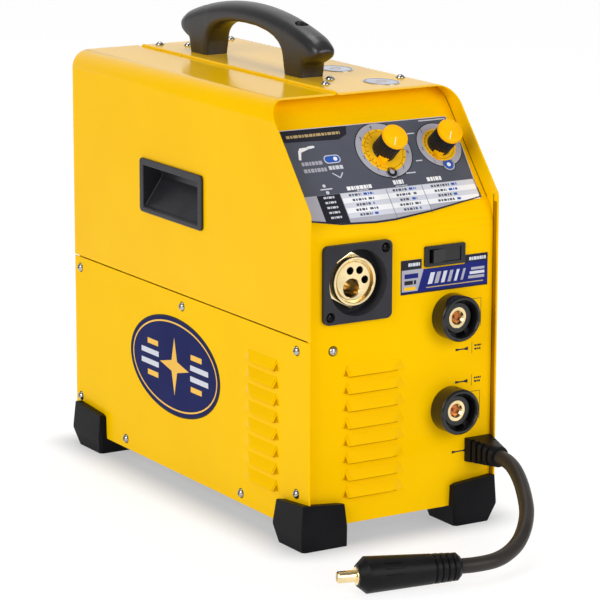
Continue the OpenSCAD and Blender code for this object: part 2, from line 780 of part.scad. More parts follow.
// Cap with a shallow index groove and a pointer down the skirt
module knob_cap(x) {
  color([0.97, 0.77, 0]) on_slope(x, knob_u) rotate([0, 0, pointer_turn]) difference() {
    union() {
      rotate_extrude() polygon([[0, knob_top], [10, knob_top], [10, knob_top + 2.2],
        [9.2, knob_top + 3], [0, knob_top + 3]]);
      rotate([90, 0, 0]) linear_extrude(2.6, center = true) polygon([[8, knob_top],
        [8, knob_top + 2], [11, knob_top + 2], [12.8, knob_top - 2], [13.8, knob_low + 0.6],
        [12.1, knob_low + 0.6], [12.1, 3.8], [11.6, 3.8], [11.6, knob_top]]);
    }
    translate([1, -0.6, knob_top + 2.5]) cube([8, 1.2, 1]);
  }
}
module knob_spindle(x) {
  color([0.75, 0.75, 0.76]) on_slope(x, knob_u) translate([0, 0, -8]) cylinder(r = 3, h = 25);
}
module left_knob() {
  knob(left_knob_x);
}
module left_knob_cap() {
  knob_cap(left_knob_x);
}
module left_knob_spindle() {
  knob_spindle(left_knob_x);
}
module right_knob() {
  knob(right_knob_x);
}
module right_knob_cap() {
  knob_cap(right_knob_x);
}
module right_knob_spindle() {
  knob_spindle(right_knob_x);
}

// Board behind the control face, held by the bushings of its two controls
module control_board() {
  color([0.1, 0.35, 0.18]) on_slope(0, knob_u) difference() {
    union() {
      translate([2, -22, -13.4]) cube([84, 44, 1.6]);
      for (x = [left_knob_x, right_knob_x]) translate([x, 0, 0]) {
        translate([0, 0, -12]) cylinder(r = 8.5, h = 12 - sheet);
        translate([0, 0, -5]) cylinder(r = 4.4, h = 6);
      }
      for (i = [0:3]) translate([26 + i*9, -14, -18]) cube([6, 12, 5]);
      translate([24, 6, -20]) cube([30, 10, 7]);
    }
    for (x = [left_knob_x, right_knob_x]) translate([x, 0, -9]) cylinder(r = 3.04, h = 20);
  }
}

// ---- Polarity lead ----

module strain_relief() {
  color([0.12, 0.12, 0.13]) difference() {
    union() {
      hull() {
        box([68.5, panel_y - 3, 54.2], [94, panel_y, 74.6]);
        translate(lead_route[0]) rotate([-90, 0, 0]) cylinder(r = 9, h = 2);
      }
      box([73, panel_y - 1, 58.5], [89, panel_y + 8, 70.5]);
    }
    for (i = [0:3]) {
      y = panel_y - 7 - i*5.7;
      box([60, y - 2.2, 40], [73.8 + i*1.1, y, 90]);
      box([89.2 - i*0.3, y - 2.2, 40], [100, y, 90]);
    }
  }
}

// Smooth route through the hand-set points
function spline(p, i, t) = let (a = p[max(i - 1, 0)], b = p[i], c = p[i + 1],
    d = p[min(i + 2, len(p) - 1)])
  0.5*((2*b) + (c - a)*t + (2*a - 5*b + 4*c - d)*t*t + (3*b - a - 3*c + d)*t*t*t);
lead_steps = 4;
lead_points = concat([for (i = [0:len(lead_route) - 2], s = [0:lead_steps - 1])
  spline(lead_route, i, s/lead_steps)], [lead_route[len(lead_route) - 1]]);
function unit(v) = v/norm(v);
function along_lead(i) = i == 0 ? [0, -1, 0]
  : i == len(lead_points) - 1 ? [cos(plug_turn), sin(plug_turn), 0]
  : unit(lead_points[i + 1] - lead_points[i - 1]);
function lead_ring(i, sides) = let (t = along_lead(i), h = unit(cross(t, [0, 0, 1])),
    v = cross(h, t))
  [for (j = [0:sides - 1]) lead_points[i]
    + lead_d/2*(cos(360*j/sides)*h + sin(360*j/sides)*v)];
module polarity_lead() {
  sides = 12;
  k = len(lead_points);
  color([0.07, 0.07, 0.08]) polyhedron(
    points = [for (i = [0:k - 1]) each lead_ring(i, sides)],
    faces = concat(
      [[for (j = [sides - 1:-1:0]) j]],
      [[for (j = [0:sides - 1]) (k - 1)*sides + j]],
      [for (i = [0:k - 2], j = [0:sides - 1], h = [0, 1])
        let (a = i*sides + j, b = i*sides + (j + 1) % sides)
        h == 0 ? [a, b, a + sides] : [b, b + sides, a + sides]]));
}

// Frame whose local Z runs along the plug from the lead to the tip
module along_plug() {
  translate(lead_route[len(lead_route) - 1]) rotate([0, 90, plug_turn]) children();
}
module plug_body() {
  rings = [for (i = [0:3]) each [[11.4 + i*0.25, 3 + i*5.2], [11.4 + i*0.25, 6.4 + i*5.2],
    [10.1 + i*0.25, 6.4 + i*5.2], [10.1 + i*0.25, 8.2 + i*5.2]]];
  color([0.13, 0.13, 0.14]) along_plug() difference() {
    rotate_extrude() polygon(concat([[0, 0], [8.6, 0], [10, 1.6]], rings, [[12.3, 24],
      [plug_z, plug_len - 7], [plug_z - 6, plug_len], [0, plug_len]]));
    for (a = [100:20:140], side = [0, 180]) rotate([0, 0, a + side])
      translate([13.2, -0.5, 51]) cube([3, 1, 15]);
  }
}
module plug_pin() {
  color([0.8, 0.63, 0.3]) along_plug() translate([0, 0, plug_len]) rotate_extrude()
    polygon([[0, 0], [plug_pin_r, 0], [plug_pin_r, plug_pin_len - 0.8],
      [plug_pin_r - 0.8, plug_pin_len], [0, plug_pin_len]]);
}

// ---- Wire feeder ----

// Round bar along X between two places at the given (y, z)
module bar_x(x0, x1, y, z, r) {
  translate([x0, y, z]) rotate([0, 90, 0]) cylinder(r = r, h = x1 - x0);
}
module feed_plate() {
  post = wire_x + cheek_in + cheek_t + 0.5;
  color([0.62, 0.63, 0.65]) difference() {
    union() {
      along_x(plate_x, divider_x) translate([-120, 221]) round_rect(96, 84, 8);
      bar_x(post, divider_x - 1, drive_y, drive_z, 12);
      bar_x(post, divider_x - 1, arm_y, arm_z, 8);
      bar_x(post, divider_x - 1, lever_y, lever_z, 7);
      for (y = [-160, -80]) box([wire_x - 6, y, wire_z - 7], [divider_x - 1, y + 8, wire_z + 5]);
    }
    bar_x(post - 1, divider_x + 1, drive_y, drive_z, shaft_r + 0.05);
    for (y = [arm_y, lever_y]) bar_x(post - 1, post + 12, y, y == arm_y ? arm_z : lever_z, 3);
    along_y(-170, -70) translate([wire_x, wire_z]) circle(3);
  }
}
module feed_motor() {
  color([0.3, 0.31, 0.33]) difference() {
    union() {
      along_x(divider_x + sheet, 28) translate([drive_y, drive_z]) round_rect(54, 54, 6);
      bar_x(28, 78, drive_y, drive_z, 25);
      bar_x(78, 81, drive_y, drive_z, 9);
    }
    bar_x(divider_x, 10, drive_y, drive_z, shaft_r + 0.05);
  }
}
module drive_roller() {
  color([0.7, 0.7, 0.72]) {
    bar_x(wire_x - 12, 9, drive_y, drive_z, shaft_r);
    translate([wire_x, drive_y, drive_z]) rotate([0, 90, 0]) rotate_extrude()
      polygon([[0, -6], [drive_r, -6], [drive_r, -1], [drive_r - 0.8, 0], [drive_r, 1],
        [drive_r, 6], [0, 6]]);
    bar_x(wire_x - 14, wire_x - 6, drive_y, drive_z, 9);
  }
}
// Two cheeks, the bridge over the roller and the roller's axle
module pressure_arm() {
  outer = cheek_in + cheek_t;
  color([0.5, 0.51, 0.53]) {
    for (s = [-1, 1]) {
      x = wire_x + s*(cheek_in + cheek_t/2);
      difference() {
        along_x(x - cheek_t/2, x + cheek_t/2) {
          translate([arm_y, arm_z]) circle(8);
          translate([drive_y, idler_z]) circle(7);
          polygon([[arm_y, arm_z - 8], [drive_y, idler_z - 7], [drive_y + 7, idler_z],
            [-100, 241.6], [-100, 246], [-141, 246], [arm_y - 6, arm_z + 5.2]]);
        }
        bar_x(x - 3, x + 3, arm_y, arm_z, 3.05);
      }
    }
    bar_x(wire_x - outer, wire_x + outer, drive_y, idler_z, 3);
    difference() {
      box([wire_x - outer, -141, 241.6], [wire_x + outer, -79, 246]);
      box([wire_x - 3.1, -90, 240], [wire_x + 3.1, -70, 250]);
    }
  }
}
// Fixed pins that the arm and the lever turn on, with a head at the free end
module feeder_pins() {
  post = wire_x + cheek_in + cheek_t + 0.5;
  color([0.8, 0.8, 0.81]) {
    bar_x(wire_x - cheek_in - cheek_t - 3.3, post + 12, arm_y, arm_z, 3);
    bar_x(wire_x - cheek_in - cheek_t - 3.3, wire_x - cheek_in - cheek_t - 0.3, arm_y, arm_z, 5);
    bar_x(wire_x - 8.8, post + 12, lever_y, lever_z, 3);
    bar_x(wire_x - 8.8, wire_x - 5.8, lever_y, lever_z, 5);
  }
}
module idler_roller() {
  color([0.72, 0.72, 0.74]) translate([wire_x, drive_y, idler_z]) rotate([0, 90, 0])
    difference() {
      cylinder(r = idler_r, h = 12, center = true);
      cylinder(r = 3.05, h = 20, center = true);
    }
}
// Frame whose local Z runs up the released lever from its pivot
module along_lever() {
  translate([wire_x, lever_y, lever_z]) rotate([-lever_lean, 0, 0]) children();
}
module tension_lever() {
  color([0.75, 0.75, 0.76]) along_lever() difference() {
    union() {
      rotate([0, 90, 0]) cylinder(r = 6, h = 11, center = true);
      cylinder(r = 2.5, h = 38);
    }
    rotate([0, 90, 0]) cylinder(r = 3.05, h = 20, center = true);
  }
}
module tension_knob() {
  color([0.12, 0.12, 0.13]) along_lever() difference() {
    translate([0, 0, 18.2]) rotate_extrude() polygon([[0, 0], [7.4, 0], [8.5, 1.4],
      [8.5, 22], [7.5, 24], [0, 24]]);
    translate([0, 0, 10]) cylinder(r = 2.55, h = 28.3);
    for (a = [0:30:330]) rotate([0, 0, a]) translate([9.1, 0, 21]) cylinder(r = 1.1, h = 40);
  }
}
module wire_guides() {
  color([0.8, 0.63, 0.3]) for (ends = [[-166, -134], [-102, -68]]) difference() {
    along_y(ends[0], ends[1]) translate([wire_x, wire_z]) circle(2.98);
    along_y(ends[0] - 1, ends[1] + 1) translate([wire_x, wire_z]) circle(0.8);
  }
}

// ---- Spool carrier ----

module hub_axle() {
  color([0.72, 0.72, 0.74]) {
    bar_x(hub_end - 1, divider_x, hub_y, hub_z, 8);
    bar_x(divider_x - 3, divider_x, hub_y, hub_z, 20);
    bar_x(hub_end - 4.5, hub_end - 0.5, hub_y, hub_z, 11);
  }
}
module spool_hub() {
  back = divider_x - 3.5;
  color([0.12, 0.12, 0.13]) difference() {
    union() {
      bar_x(hub_end, back, hub_y, hub_z, hub_r);
      bar_x(back - 3.5, back, hub_y, hub_z, 36);
    }
    bar_x(hub_end - 1, back + 1, hub_y, hub_z, 8.05);
    translate([hub_end - 1, hub_y, hub_z]) rotate([0, 90, 0]) rotate_extrude()
      polygon([[14, 0], [21.5, 0], [21.5, 40], [14, 40]]);
    for (a = [45:90:315]) translate([hub_end, hub_y, hub_z]) rotate([a, 0, 0])
      translate([-1, 12, -2]) cube([3, 8, 4]);
  }
}

// ---- Power parts ----

module heat_sink() {
  x0 = 14;
  fins = 12;
  pitch = 6.4;
  w = (fins - 1)*pitch + 2;
  color([0.66, 0.67, 0.69]) along_y(20, 150) translate([x0, base_z + sheet]) {
    square([w, 6]);
    for (i = [0:fins - 1]) translate([i*pitch, 5.5]) square([2, 50.5]);
  }
}
module power_board() {
  z = base_z + sheet + 56;
  color([0.1, 0.35, 0.18]) {
    box([12, 14, z + 3], [90, 156, z + 4.6]);
    for (x = [17, 83], y = [28, 140]) translate([x, y, z]) cylinder(r = 2.5, h = 4);
    for (i = [0:2]) translate([30, 40 + i*36, z + 4]) cylinder(r = 15, h = 42);
    for (i = [0:5]) box([66, 28 + i*20, z + 4], [71, 44 + i*20, z + 24]);
  }
}
module main_transformer() {
  z = base_z + sheet;
  color([0.32, 0.33, 0.35]) difference() {
    union() {
      box([18, -112, z], [82, -40, z + 62]);
      box([14, -104, z + 14], [86, -48, z + 48]);
      box([12, -116, z], [88, -36, z + 3]);
    }
    for (y = [-113, -48]) box([34, y, z + 10], [66, y + 9, z + 52]);
  }
}

module fan_frame() {
  color([0.14, 0.14, 0.15]) on_rear(fan_x, fan_z, rear_in) {
    difference() {
      translate([-46, -46, -25]) cube([92, 92, 25]);
      translate([0, 0, -26]) cylinder(r = 43.6, h = 30);
      for (x = [-41, 41], y = [-41, 41]) translate([x, y, -30]) cylinder(r = 2.2, h = 40);
    }
    translate([0, 0, -25]) cylinder(r = 16, h = 4);
    for (a = [30:120:270]) rotate([0, 0, a]) translate([14, -2, -25]) cube([31, 4, 4]);
    translate([0, 0, -22]) cylinder(r = 2.5, h = 18);
  }
}
module fan_rotor() {
  color([0.1, 0.1, 0.11]) on_rear(fan_x, fan_z, rear_in) difference() {
    union() {
      translate([0, 0, -20.5]) cylinder(r = 17, h = 18);
      intersection() {
        translate([0, 0, -20.5]) cylinder(r = 42, h = 18);
        for (i = [0:6]) rotate([0, 0, i*360/7]) translate([15, -0.9, -11.5])
          rotate([38, 0, 0]) translate([0, 0, -14]) cube([30, 1.8, 28]);
      }
    }
    translate([0, 0, -30]) cylinder(r = 2.55, h = 27);
  }
}

// Cable gland for the mains lead, with the lead left out
module mains_gland() {
  color([0.14, 0.14, 0.15]) on_rear(mains_x, gland_z) difference() {
    union() {
      cylinder(r = 15, h = 6, $fn = 6);
      rotate_extrude() polygon(concat([[0, 0], [12.6, 0], [12.6, 14]],
        arc(6.6, 14, 6, 0, 90, 8), [[0, 20]]));
      translate([0, 0, -10]) cylinder(r = 9.9, h = 11);
      translate([0, 0, -sheet - 5]) cylinder(r = 14, h = 5, $fn = 6);
    }
    translate([0, 0, -20]) cylinder(r = 5, h = 60);
  }
}
// Hose barb outside, valve block and coil inside
module gas_inlet() {
  color([0.78, 0.62, 0.32]) on_rear(mains_x, gas_z) difference() {
    union() {
      cylinder(r = 10, h = 6, $fn = 6);
      rotate_extrude() polygon([[0, 0], [barb_r - 1, 0], [barb_r - 1, 12], [barb_r, 13],
        [barb_r - 1, 18], [barb_r, 19], [barb_r - 1, 24], [barb_r, 25],
        [barb_r - 0.9, barb_out], [0, barb_out]]);
      translate([0, 0, -20]) cylinder(r = 5.9, h = 21);
      translate([-11, -11, -sheet - 22]) cube([22, 22, 22]);
      translate([-9, 10, -sheet - 20]) cube([18, 20, 18]);
    }
    translate([0, 0, -12]) cylinder(r = 2.5, h = 60);
  }
}

base_chassis();
front_panel();
rear_panel();
roof_side_cover();
lower_left_panel();
inner_divider();
wire_door();
door_pull_cup();
hinge_fixed_leaf();
hinge_door_leaf();
door_catches();
carry_handle();
front_left_foot();
front_right_foot();
rear_left_foot();
rear_right_foot();
control_label();
name_plate();
side_badge();
roof_badges();
case_screws();
torch_socket_housing();
torch_socket_body();
upper_socket_housing();
upper_socket_contact();
lower_socket_housing();
lower_socket_contact();
mode_switch_body();
mode_switch_rocker();
left_knob();
left_knob_cap();
left_knob_spindle();
right_knob();
right_knob_cap();
right_knob_spindle();
control_board();
strain_relief();
polarity_lead();
plug_body();
plug_pin();
feed_plate();
feed_motor();
drive_roller();
pressure_arm();
feeder_pins();
idler_roller();
tension_lever();
tension_knob();
wire_guides();
spool_hub();
hub_axle();
power_board();
heat_sink();
main_transformer();
fan_frame();
fan_rotor();
mains_switch_body();
mains_switch_rocker();
mains_gland();
gas_inlet();
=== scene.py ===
import bpy, bmesh, json, math
from mathutils import Matrix, Vector

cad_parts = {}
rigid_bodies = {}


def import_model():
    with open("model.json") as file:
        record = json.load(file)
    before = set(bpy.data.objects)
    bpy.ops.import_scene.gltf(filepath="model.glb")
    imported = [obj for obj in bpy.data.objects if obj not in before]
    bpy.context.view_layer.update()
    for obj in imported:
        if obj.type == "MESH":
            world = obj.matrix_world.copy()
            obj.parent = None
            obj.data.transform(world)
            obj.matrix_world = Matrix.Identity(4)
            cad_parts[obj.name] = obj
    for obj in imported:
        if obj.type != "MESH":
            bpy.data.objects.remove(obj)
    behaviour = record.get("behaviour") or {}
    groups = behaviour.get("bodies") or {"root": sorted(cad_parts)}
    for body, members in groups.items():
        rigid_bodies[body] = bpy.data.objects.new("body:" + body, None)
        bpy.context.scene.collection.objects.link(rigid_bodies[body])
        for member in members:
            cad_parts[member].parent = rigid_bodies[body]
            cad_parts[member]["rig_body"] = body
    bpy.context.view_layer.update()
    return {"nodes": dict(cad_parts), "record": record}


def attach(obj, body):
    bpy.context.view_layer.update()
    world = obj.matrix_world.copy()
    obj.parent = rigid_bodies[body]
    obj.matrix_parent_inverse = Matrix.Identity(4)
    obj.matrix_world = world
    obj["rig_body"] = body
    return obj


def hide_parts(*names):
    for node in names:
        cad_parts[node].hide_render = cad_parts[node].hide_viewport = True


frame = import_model()
nodes = frame["nodes"]
mm = 0.001
frontY = -202.0  # outer face of the front panel, millimetres
weldGap = 0.0001  # points of a new piece that are closer are one, millimetres


# shader steps shared by the sky, the floor and the finishes
def vectorStep(tree, operation, vector, other=None):
    step = tree.nodes.new("ShaderNodeVectorMath")
    step.operation = operation
    tree.links.new(vector, step.inputs[0])
    if other is not None:
        step.inputs[1].default_value = other
    return step.outputs["Value" if operation in ("LENGTH", "DOT_PRODUCT") else "Vector"]


def mathStep(tree, operation, *values):
    step = tree.nodes.new("ShaderNodeMath")
    step.operation = operation
    for socket, value in zip(step.inputs, values):
        if isinstance(value, float):
            socket.default_value = value
        else:
            tree.links.new(value, socket)
    return step.outputs[0]


def rangeStep(tree, value, span, levels, easing="LINEAR"):
    step = tree.nodes.new("ShaderNodeMapRange")
    step.interpolation_type = easing
    for key, number in zip(("From Min", "From Max", "To Min", "To Max"), (*span, *levels)):
        step.inputs[key].default_value = number
    tree.links.new(value, step.inputs["Value"])
    return step.outputs["Result"]


def newMaterial(name, colour, roughness, metallic=0.0, **sockets):
    mat = bpy.data.materials.new(name)
    mat.use_nodes = True
    shader = mat.node_tree.nodes["Principled BSDF"]
    shader.inputs["Base Color"].default_value = (*colour, 1)
    shader.inputs["Roughness"].default_value = roughness
    shader.inputs["Metallic"].default_value = metallic
    for key, value in sockets.items():
        shader.inputs[key.replace("_", " ")].default_value = value
    return mat


def setInput(mat, key, output):
    mat.node_tree.links.new(output, mat.node_tree.nodes["Principled BSDF"].inputs[key])


def linkObject(name, data):
    obj = bpy.data.objects.new(name, data)
    bpy.context.scene.collection.objects.link(obj)
    return obj


def meshObject(name, bm):
    mesh = bpy.data.meshes.new(name)
    bm.to_mesh(mesh)
    bm.free()
    return linkObject(name, mesh)


cameraSetup = {
    "place": (-1.35465, -2.26105, 0.75416),  # metres
    "yaw": -31.40, "pitch": 12.59, "roll": 0.13,  # degrees
    "square": 600, "focalPixels": 3043.7, "centre": (297.9, 297.9),  # pixels, centre is the optical one
    "sensor": 36, "farClip": 50,  # millimetres, metres
}


def makeCamera(setup=cameraSetup):
    yaw, pitch, roll = (math.radians(setup[k]) for k in ("yaw", "pitch", "roll"))
    back = Vector((math.sin(yaw) * math.cos(pitch), -math.cos(yaw) * math.cos(pitch), math.sin(pitch)))
    right = (-back).cross(Vector((0, 0, 1))).normalized()
    up = right.cross(-back)
    rightTurned = right * math.cos(roll) + up * math.sin(roll)
    upTurned = up * math.cos(roll) - right * math.sin(roll)
    side, centre = setup["square"], setup["centre"]
    data = bpy.data.cameras.new("viewCamera")
    data.sensor_width = setup["sensor"]
    data.lens = setup["focalPixels"] / side * setup["sensor"]
    data.shift_x = (side / 2 - centre[0]) / side
    data.shift_y = (centre[1] - side / 2) / side
    data.clip_end = setup["farClip"]
    camera = linkObject("viewCamera", data)
    turn = Matrix((rightTurned, upTurned, back)).transposed().to_4x4()
    camera.matrix_world = Matrix.Translation(setup["place"]) @ turn
    bpy.context.scene.camera = camera


studio = {
    "skyDim": 0.25, "skyBright": 1.0,  # sky behind the machine is bright, the rest is dim
    "skyToward": (0.52, 0.84, 0.15), "skySpan": (0.5, 0.9),
    "lights": [  # name, place, aim, size, power
        ("keyLight", (-3.2, -1.0, 1.9), (0, 0, 0.2), (2.6, 2.4), 78),
        ("frontLight", (0.9, -3.4, 1.5), (0, 0, 0.2), (2.4, 2.0), 60),
        ("topLight", (0.2, 0.9, 3.2), (0, 0, 0.2), (1.6, 1.6), 26),
    ],
    "paper": 0.2, "paperRoughness": 0.7, "paperSize": 14,
    "paperGlowShadowedAndOpen": (0.40, 0.82),  # painted contact shadow close to the machine, plain glow far from it
    "shadowFoot": (0.088, 0.196, 0), "shadowSpan": (-0.005, 0.05),  # half sizes of the footprint, metres from it over which the painted shadow fades
    "glowAcross": (0.85, -0.52, 0), "acrossSpan": (0.6, 2.0), "sideGlow": 0.7,
}


def makeLight(name, place, aim, size, power):
    data = bpy.data.lights.new(name, "AREA")
    data.shape = "RECTANGLE"
    data.size, data.size_y = size
    data.energy = power
    turn = (Vector(aim) - Vector(place)).to_track_quat("-Z", "Y").to_matrix().to_4x4()
    linkObject(name, data).matrix_world = Matrix.Translation(place) @ turn


def makeSky(s=studio):
    world = bpy.data.worlds.new("studioWorld")
    bpy.context.scene.world = world
    world.use_nodes = True
    tree = world.node_tree
    place = tree.nodes.new("ShaderNodeTexCoord").outputs["Generated"]
    toward = vectorStep(tree, "DOT_PRODUCT", place, Vector(s["skyToward"]).normalized())
    level = rangeStep(tree, toward, s["skySpan"], (s["skyDim"], s["skyBright"]), "SMOOTHSTEP")
    tree.nodes["Background"].inputs["Color"].default_value = (1, 1, 1, 1)
    tree.links.new(level, tree.nodes["Background"].inputs["Strength"])


def makePaper(s=studio):
    mat = newMaterial("floorPaper", (s["paper"],) * 3, s["paperRoughness"], Emission_Color=(1, 1, 1, 1))
    tree = mat.node_tree
    place = tree.nodes.new("ShaderNodeTexCoord").outputs["Object"]
    # the floor's glow is dimmed round the machine's footprint: a painted contact shadow
    away = vectorStep(tree, "ABSOLUTE", place)
    away = vectorStep(tree, "SUBTRACT", away, s["shadowFoot"])
    away = vectorStep(tree, "MAXIMUM", away, (0, 0, 0))
    away = vectorStep(tree, "LENGTH", away)
    shadowedGlow = rangeStep(tree, away, s["shadowSpan"], s["paperGlowShadowedAndOpen"], "SMOOTHSTEP")
    across = mathStep(tree, "ABSOLUTE", vectorStep(tree, "DOT_PRODUCT", place, s["glowAcross"]))
    side = rangeStep(tree, across, s["acrossSpan"], (1, s["sideGlow"]), "SMOOTHSTEP")
    setInput(mat, "Emission Strength", mathStep(tree, "MULTIPLY", shadowedGlow, side))
    return mat


def makeStudio(s=studio):
    bpy.context.scene.view_settings.view_transform = "Standard"
    makeSky()
    for light in s["lights"]:
        makeLight(*light)
    bm = bmesh.new()
    bmesh.ops.create_grid(bm, x_segments=1, y_segments=1, size=s["paperSize"])
    floor = meshObject("floorSweep", bm)
    floor.data.materials.append(makePaper())


makeCamera()
makeStudio()
print("camera and studio ready")


# cloud and grain: scale and detail of the two noises; spread: what the noise adds to the roughness;
# depth of the bump in metres
surfaces = {
    "coat": {"cloud": (9, 4), "grain": (900, 2), "spread": (-0.05, 0.06), "depth": 0.0003, "ior": 1.25,
             "tint": (1.0, 0.5, 0.0, 1)},  # the coat mirrors little blue where it is seen square on
    "moulding": {"cloud": (30, 4), "grainDetail": 3, "spread": (-0.06, 0.08), "depth": 0.0004,
                 "paler": (1.3, 0.001)},
    "metal": {"cloud": (40, 4), "grain": (700, 3), "spread": (-0.07, 0.1), "depth": 0.0002,
              "dirt": 0.75, "dirtSpan": (0.3, 0.55)},
    "film": {"cloud": (25, 3), "grain": (2500, 2), "depth": 0.0001, "roughness": 0.32, "ior": 1.25,
             "gloss": 0.12, "bump": 0.04, "paler": (1.08, 0.003)},
}


def objectNoise(mat, scale, detail, stretch=(1, 1, 1)):
    tree = mat.node_tree
    place = tree.nodes.new("ShaderNodeTexCoord")
    mapping = tree.nodes.new("ShaderNodeMapping")
    mapping.inputs["Scale"].default_value = stretch
    noise = tree.nodes.new("ShaderNodeTexNoise")
    noise.inputs["Scale"].default_value = scale
    noise.inputs["Detail"].default_value = detail
    tree.links.new(place.outputs["Object"], mapping.inputs["Vector"])
    tree.links.new(mapping.outputs["Vector"], noise.inputs["Vector"])
    return noise.outputs["Fac"]


def mixColour(mat, factor, low, high, span=(0.35, 0.65)):
    ramp = mat.node_tree.nodes.new("ShaderNodeValToRGB")
    for element, place, colour in zip(ramp.color_ramp.elements, span, (low, high)):
        element.position = place
        element.color = (*colour, 1)
    mat.node_tree.links.new(factor, ramp.inputs["Fac"])
    setInput(mat, "Base Color", ramp.outputs["Color"])


def spreadRoughness(mat, factor, roughness, spread):
    levels = (roughness + spread[0], roughness + spread[1])
    setInput(mat, "Roughness", rangeStep(mat.node_tree, factor, (0, 1), levels))


def addBump(mat, height, strength, distance):
    bump = mat.node_tree.nodes.new("ShaderNodeBump")
    bump.inputs["Strength"].default_value = strength
    bump.inputs["Distance"].default_value = distance
    mat.node_tree.links.new(height, bump.inputs["Height"])
    setInput(mat, "Normal", bump.outputs["Normal"])


def powderCoat(name, colour, deep, roughness, peel, gloss, s=surfaces["coat"]):
    mat = newMaterial(name, colour, roughness, IOR=s["ior"], Specular_IOR_Level=gloss,
                      Specular_Tint=s["tint"])
    cloud = objectNoise(mat, *s["cloud"])
    mixColour(mat, cloud, deep, colour)
    spreadRoughness(mat, cloud, roughness, s["spread"])
    addBump(mat, objectNoise(mat, *s["grain"]), peel, s["depth"])
    return mat


def mouldedPlastic(name, colour, roughness, grain, gloss=0.25, ior=1.3, grainScale=1400,
                   s=surfaces["moulding"]):
    mat = newMaterial(name, colour, roughness, IOR=ior, Specular_IOR_Level=gloss)
    cloud = objectNoise(mat, *s["cloud"])
    mixColour(mat, cloud, colour, tuple(c * s["paler"][0] + s["paler"][1] for c in colour))
    spreadRoughness(mat, cloud, roughness, s["spread"])
    addBump(mat, objectNoise(mat, grainScale, s["grainDetail"]), grain, s["depth"])
    return mat


def plainMetal(name, colour, roughness, stretch=(1, 1, 1), scratch=0.08, s=surfaces["metal"]):
    mat = newMaterial(name, colour, roughness, 1.0)
    grain = objectNoise(mat, *s["grain"], stretch)
    mixColour(mat, objectNoise(mat, *s["cloud"]), tuple(c * s["dirt"] for c in colour), colour, s["dirtSpan"])
    spreadRoughness(mat, grain, roughness, s["spread"])
    addBump(mat, grain, scratch, s["depth"])
    return mat


def printedFilm(name, *colour, s=surfaces["film"]):
    mat = newMaterial(name, colour, s["roughness"], IOR=s["ior"], Specular_IOR_Level=s["gloss"])
    paler = tuple(min(1, c * s["paler"][0] + s["paler"][1]) for c in colour)
    mixColour(mat, objectNoise(mat, *s["cloud"]), colour, paler)
    addBump(mat, objectNoise(mat, *s["grain"]), s["bump"], s["depth"])
    return mat


coats = {  # colour, deeper colour, roughness, peel, gloss
    "yellowCoat": ((0.95, 0.55, 0.0), (0.93, 0.525, 0.0), 0.14, 0.05, 0.45),
    "doorCoat": ((0.95, 0.55, 0.0), (0.93, 0.525, 0.0), 0.14, 0.05, 0.26),
    "sideCoat": ((0.95, 0.56, 0.0), (0.93, 0.535, 0.0), 0.24, 0.05, 0.12),
    # painted shade in the louvres' throats
    "throatAmber": ((0.72, 0.34, 0.0), (0.62, 0.28, 0.0), 0.4, 0.05, 0.1),
    "shadeAmber": ((0.42, 0.19, 0.0), (0.38, 0.17, 0.0), 0.4, 0.05, 0.1),
    # painted shadow lines under the louvres' cut edges
    "lineAmber": ((0.62, 0.31, 0.0), (0.56, 0.27, 0.0), 0.4, 0.05, 0.1),
    "darkEnamel": ((0.03, 0.03, 0.033), (0.02, 0.02, 0.022), 0.4, 0.1, 0.45),
}
mouldings = {  # colour, roughness, grain, then gloss, index of refraction and grain scale where they differ
    "blackMoulding": ((0.006, 0.006, 0.008), 0.34, 0.15),
    "handleMoulding": ((0.011, 0.010, 0.012), 0.32, 0.1, 0.7, 1.5),
    "socketMoulding": ((0.005, 0.005, 0.006), 0.18, 0.08, 0.5, 1.5),
    "footMoulding": ((0.005, 0.005, 0.006), 0.38, 0.2, 0.16),
    "flangeMoulding": ((0.028, 0.028, 0.033), 0.34, 0.2),
    "cupMoulding": ((0.018, 0.018, 0.021), 0.26, 0.1, 0.4, 1.4),
    "leadRubber": ((0.026, 0.022, 0.019), 0.34, 0.2, 0.4, 1.3, 900),
    "cableRubber": ((0.007, 0.007, 0.0075), 0.36, 0.2, 0.25, 1.3, 900),
    "glossBlack": ((0.005, 0.005, 0.006), 0.2, 0.03, 0.5, 1.5),
    "rockerRed": ((0.45, 0.012, 0.01), 0.22, 0.03),
    "knobBlack": ((0.006, 0.006, 0.007), 0.3, 0.1, 0.4, 1.5),
    "knobYellow": ((0.92, 0.43, 0.0), 0.3, 0.06),
    "boardGreen": ((0.02, 0.13, 0.05), 0.35, 0.15),
}
metals = {  # colour, roughness, then stretch of the grain and depth of the scratches where they differ
    "zincSheet": ((0.62, 0.64, 0.66), 0.38, (1, 6, 1)),
    "copperBore": ((0.55, 0.20, 0.07), 0.3),
    "badgeSilver": ((0.55, 0.57, 0.66), 0.32),
    "zincScrew": ((0.50, 0.49, 0.46), 0.12),
    "brass": ((0.95, 0.76, 0.42), 0.16),
    "castAlloy": ((0.55, 0.56, 0.58), 0.45, (1, 1, 1), 0.25),
    "rollerSteel": ((0.60, 0.60, 0.62), 0.25, (8, 1, 1)),
}
films = {  # colour
    "labelGrey": (0.085, 0.092, 0.118), "labelDark": (0.022, 0.022, 0.030),
    "labelSilver": (0.38, 0.375, 0.43), "labelPale": (0.60, 0.61, 0.68),
    "labelWhite": (0.82, 0.82, 0.84), "labelYellow": (0.90, 0.50, 0.01),
    "labelBlue": (0.03, 0.10, 0.42), "labelOrange": (0.50, 0.20, 0.005), "labelGold": (0.45, 0.33, 0.16),
    "plateBlue": (0.014, 0.020, 0.16), "badgeBlue": (0.006, 0.010, 0.085), "badgeGold": (0.86, 0.50, 0.09),
    # the dark seam colour also paints the shadow rings round the case screws
    "seamDark": (0.05, 0.022, 0.002), "capLine": (0.9, 0.8, 0.45),
}
finish = {}
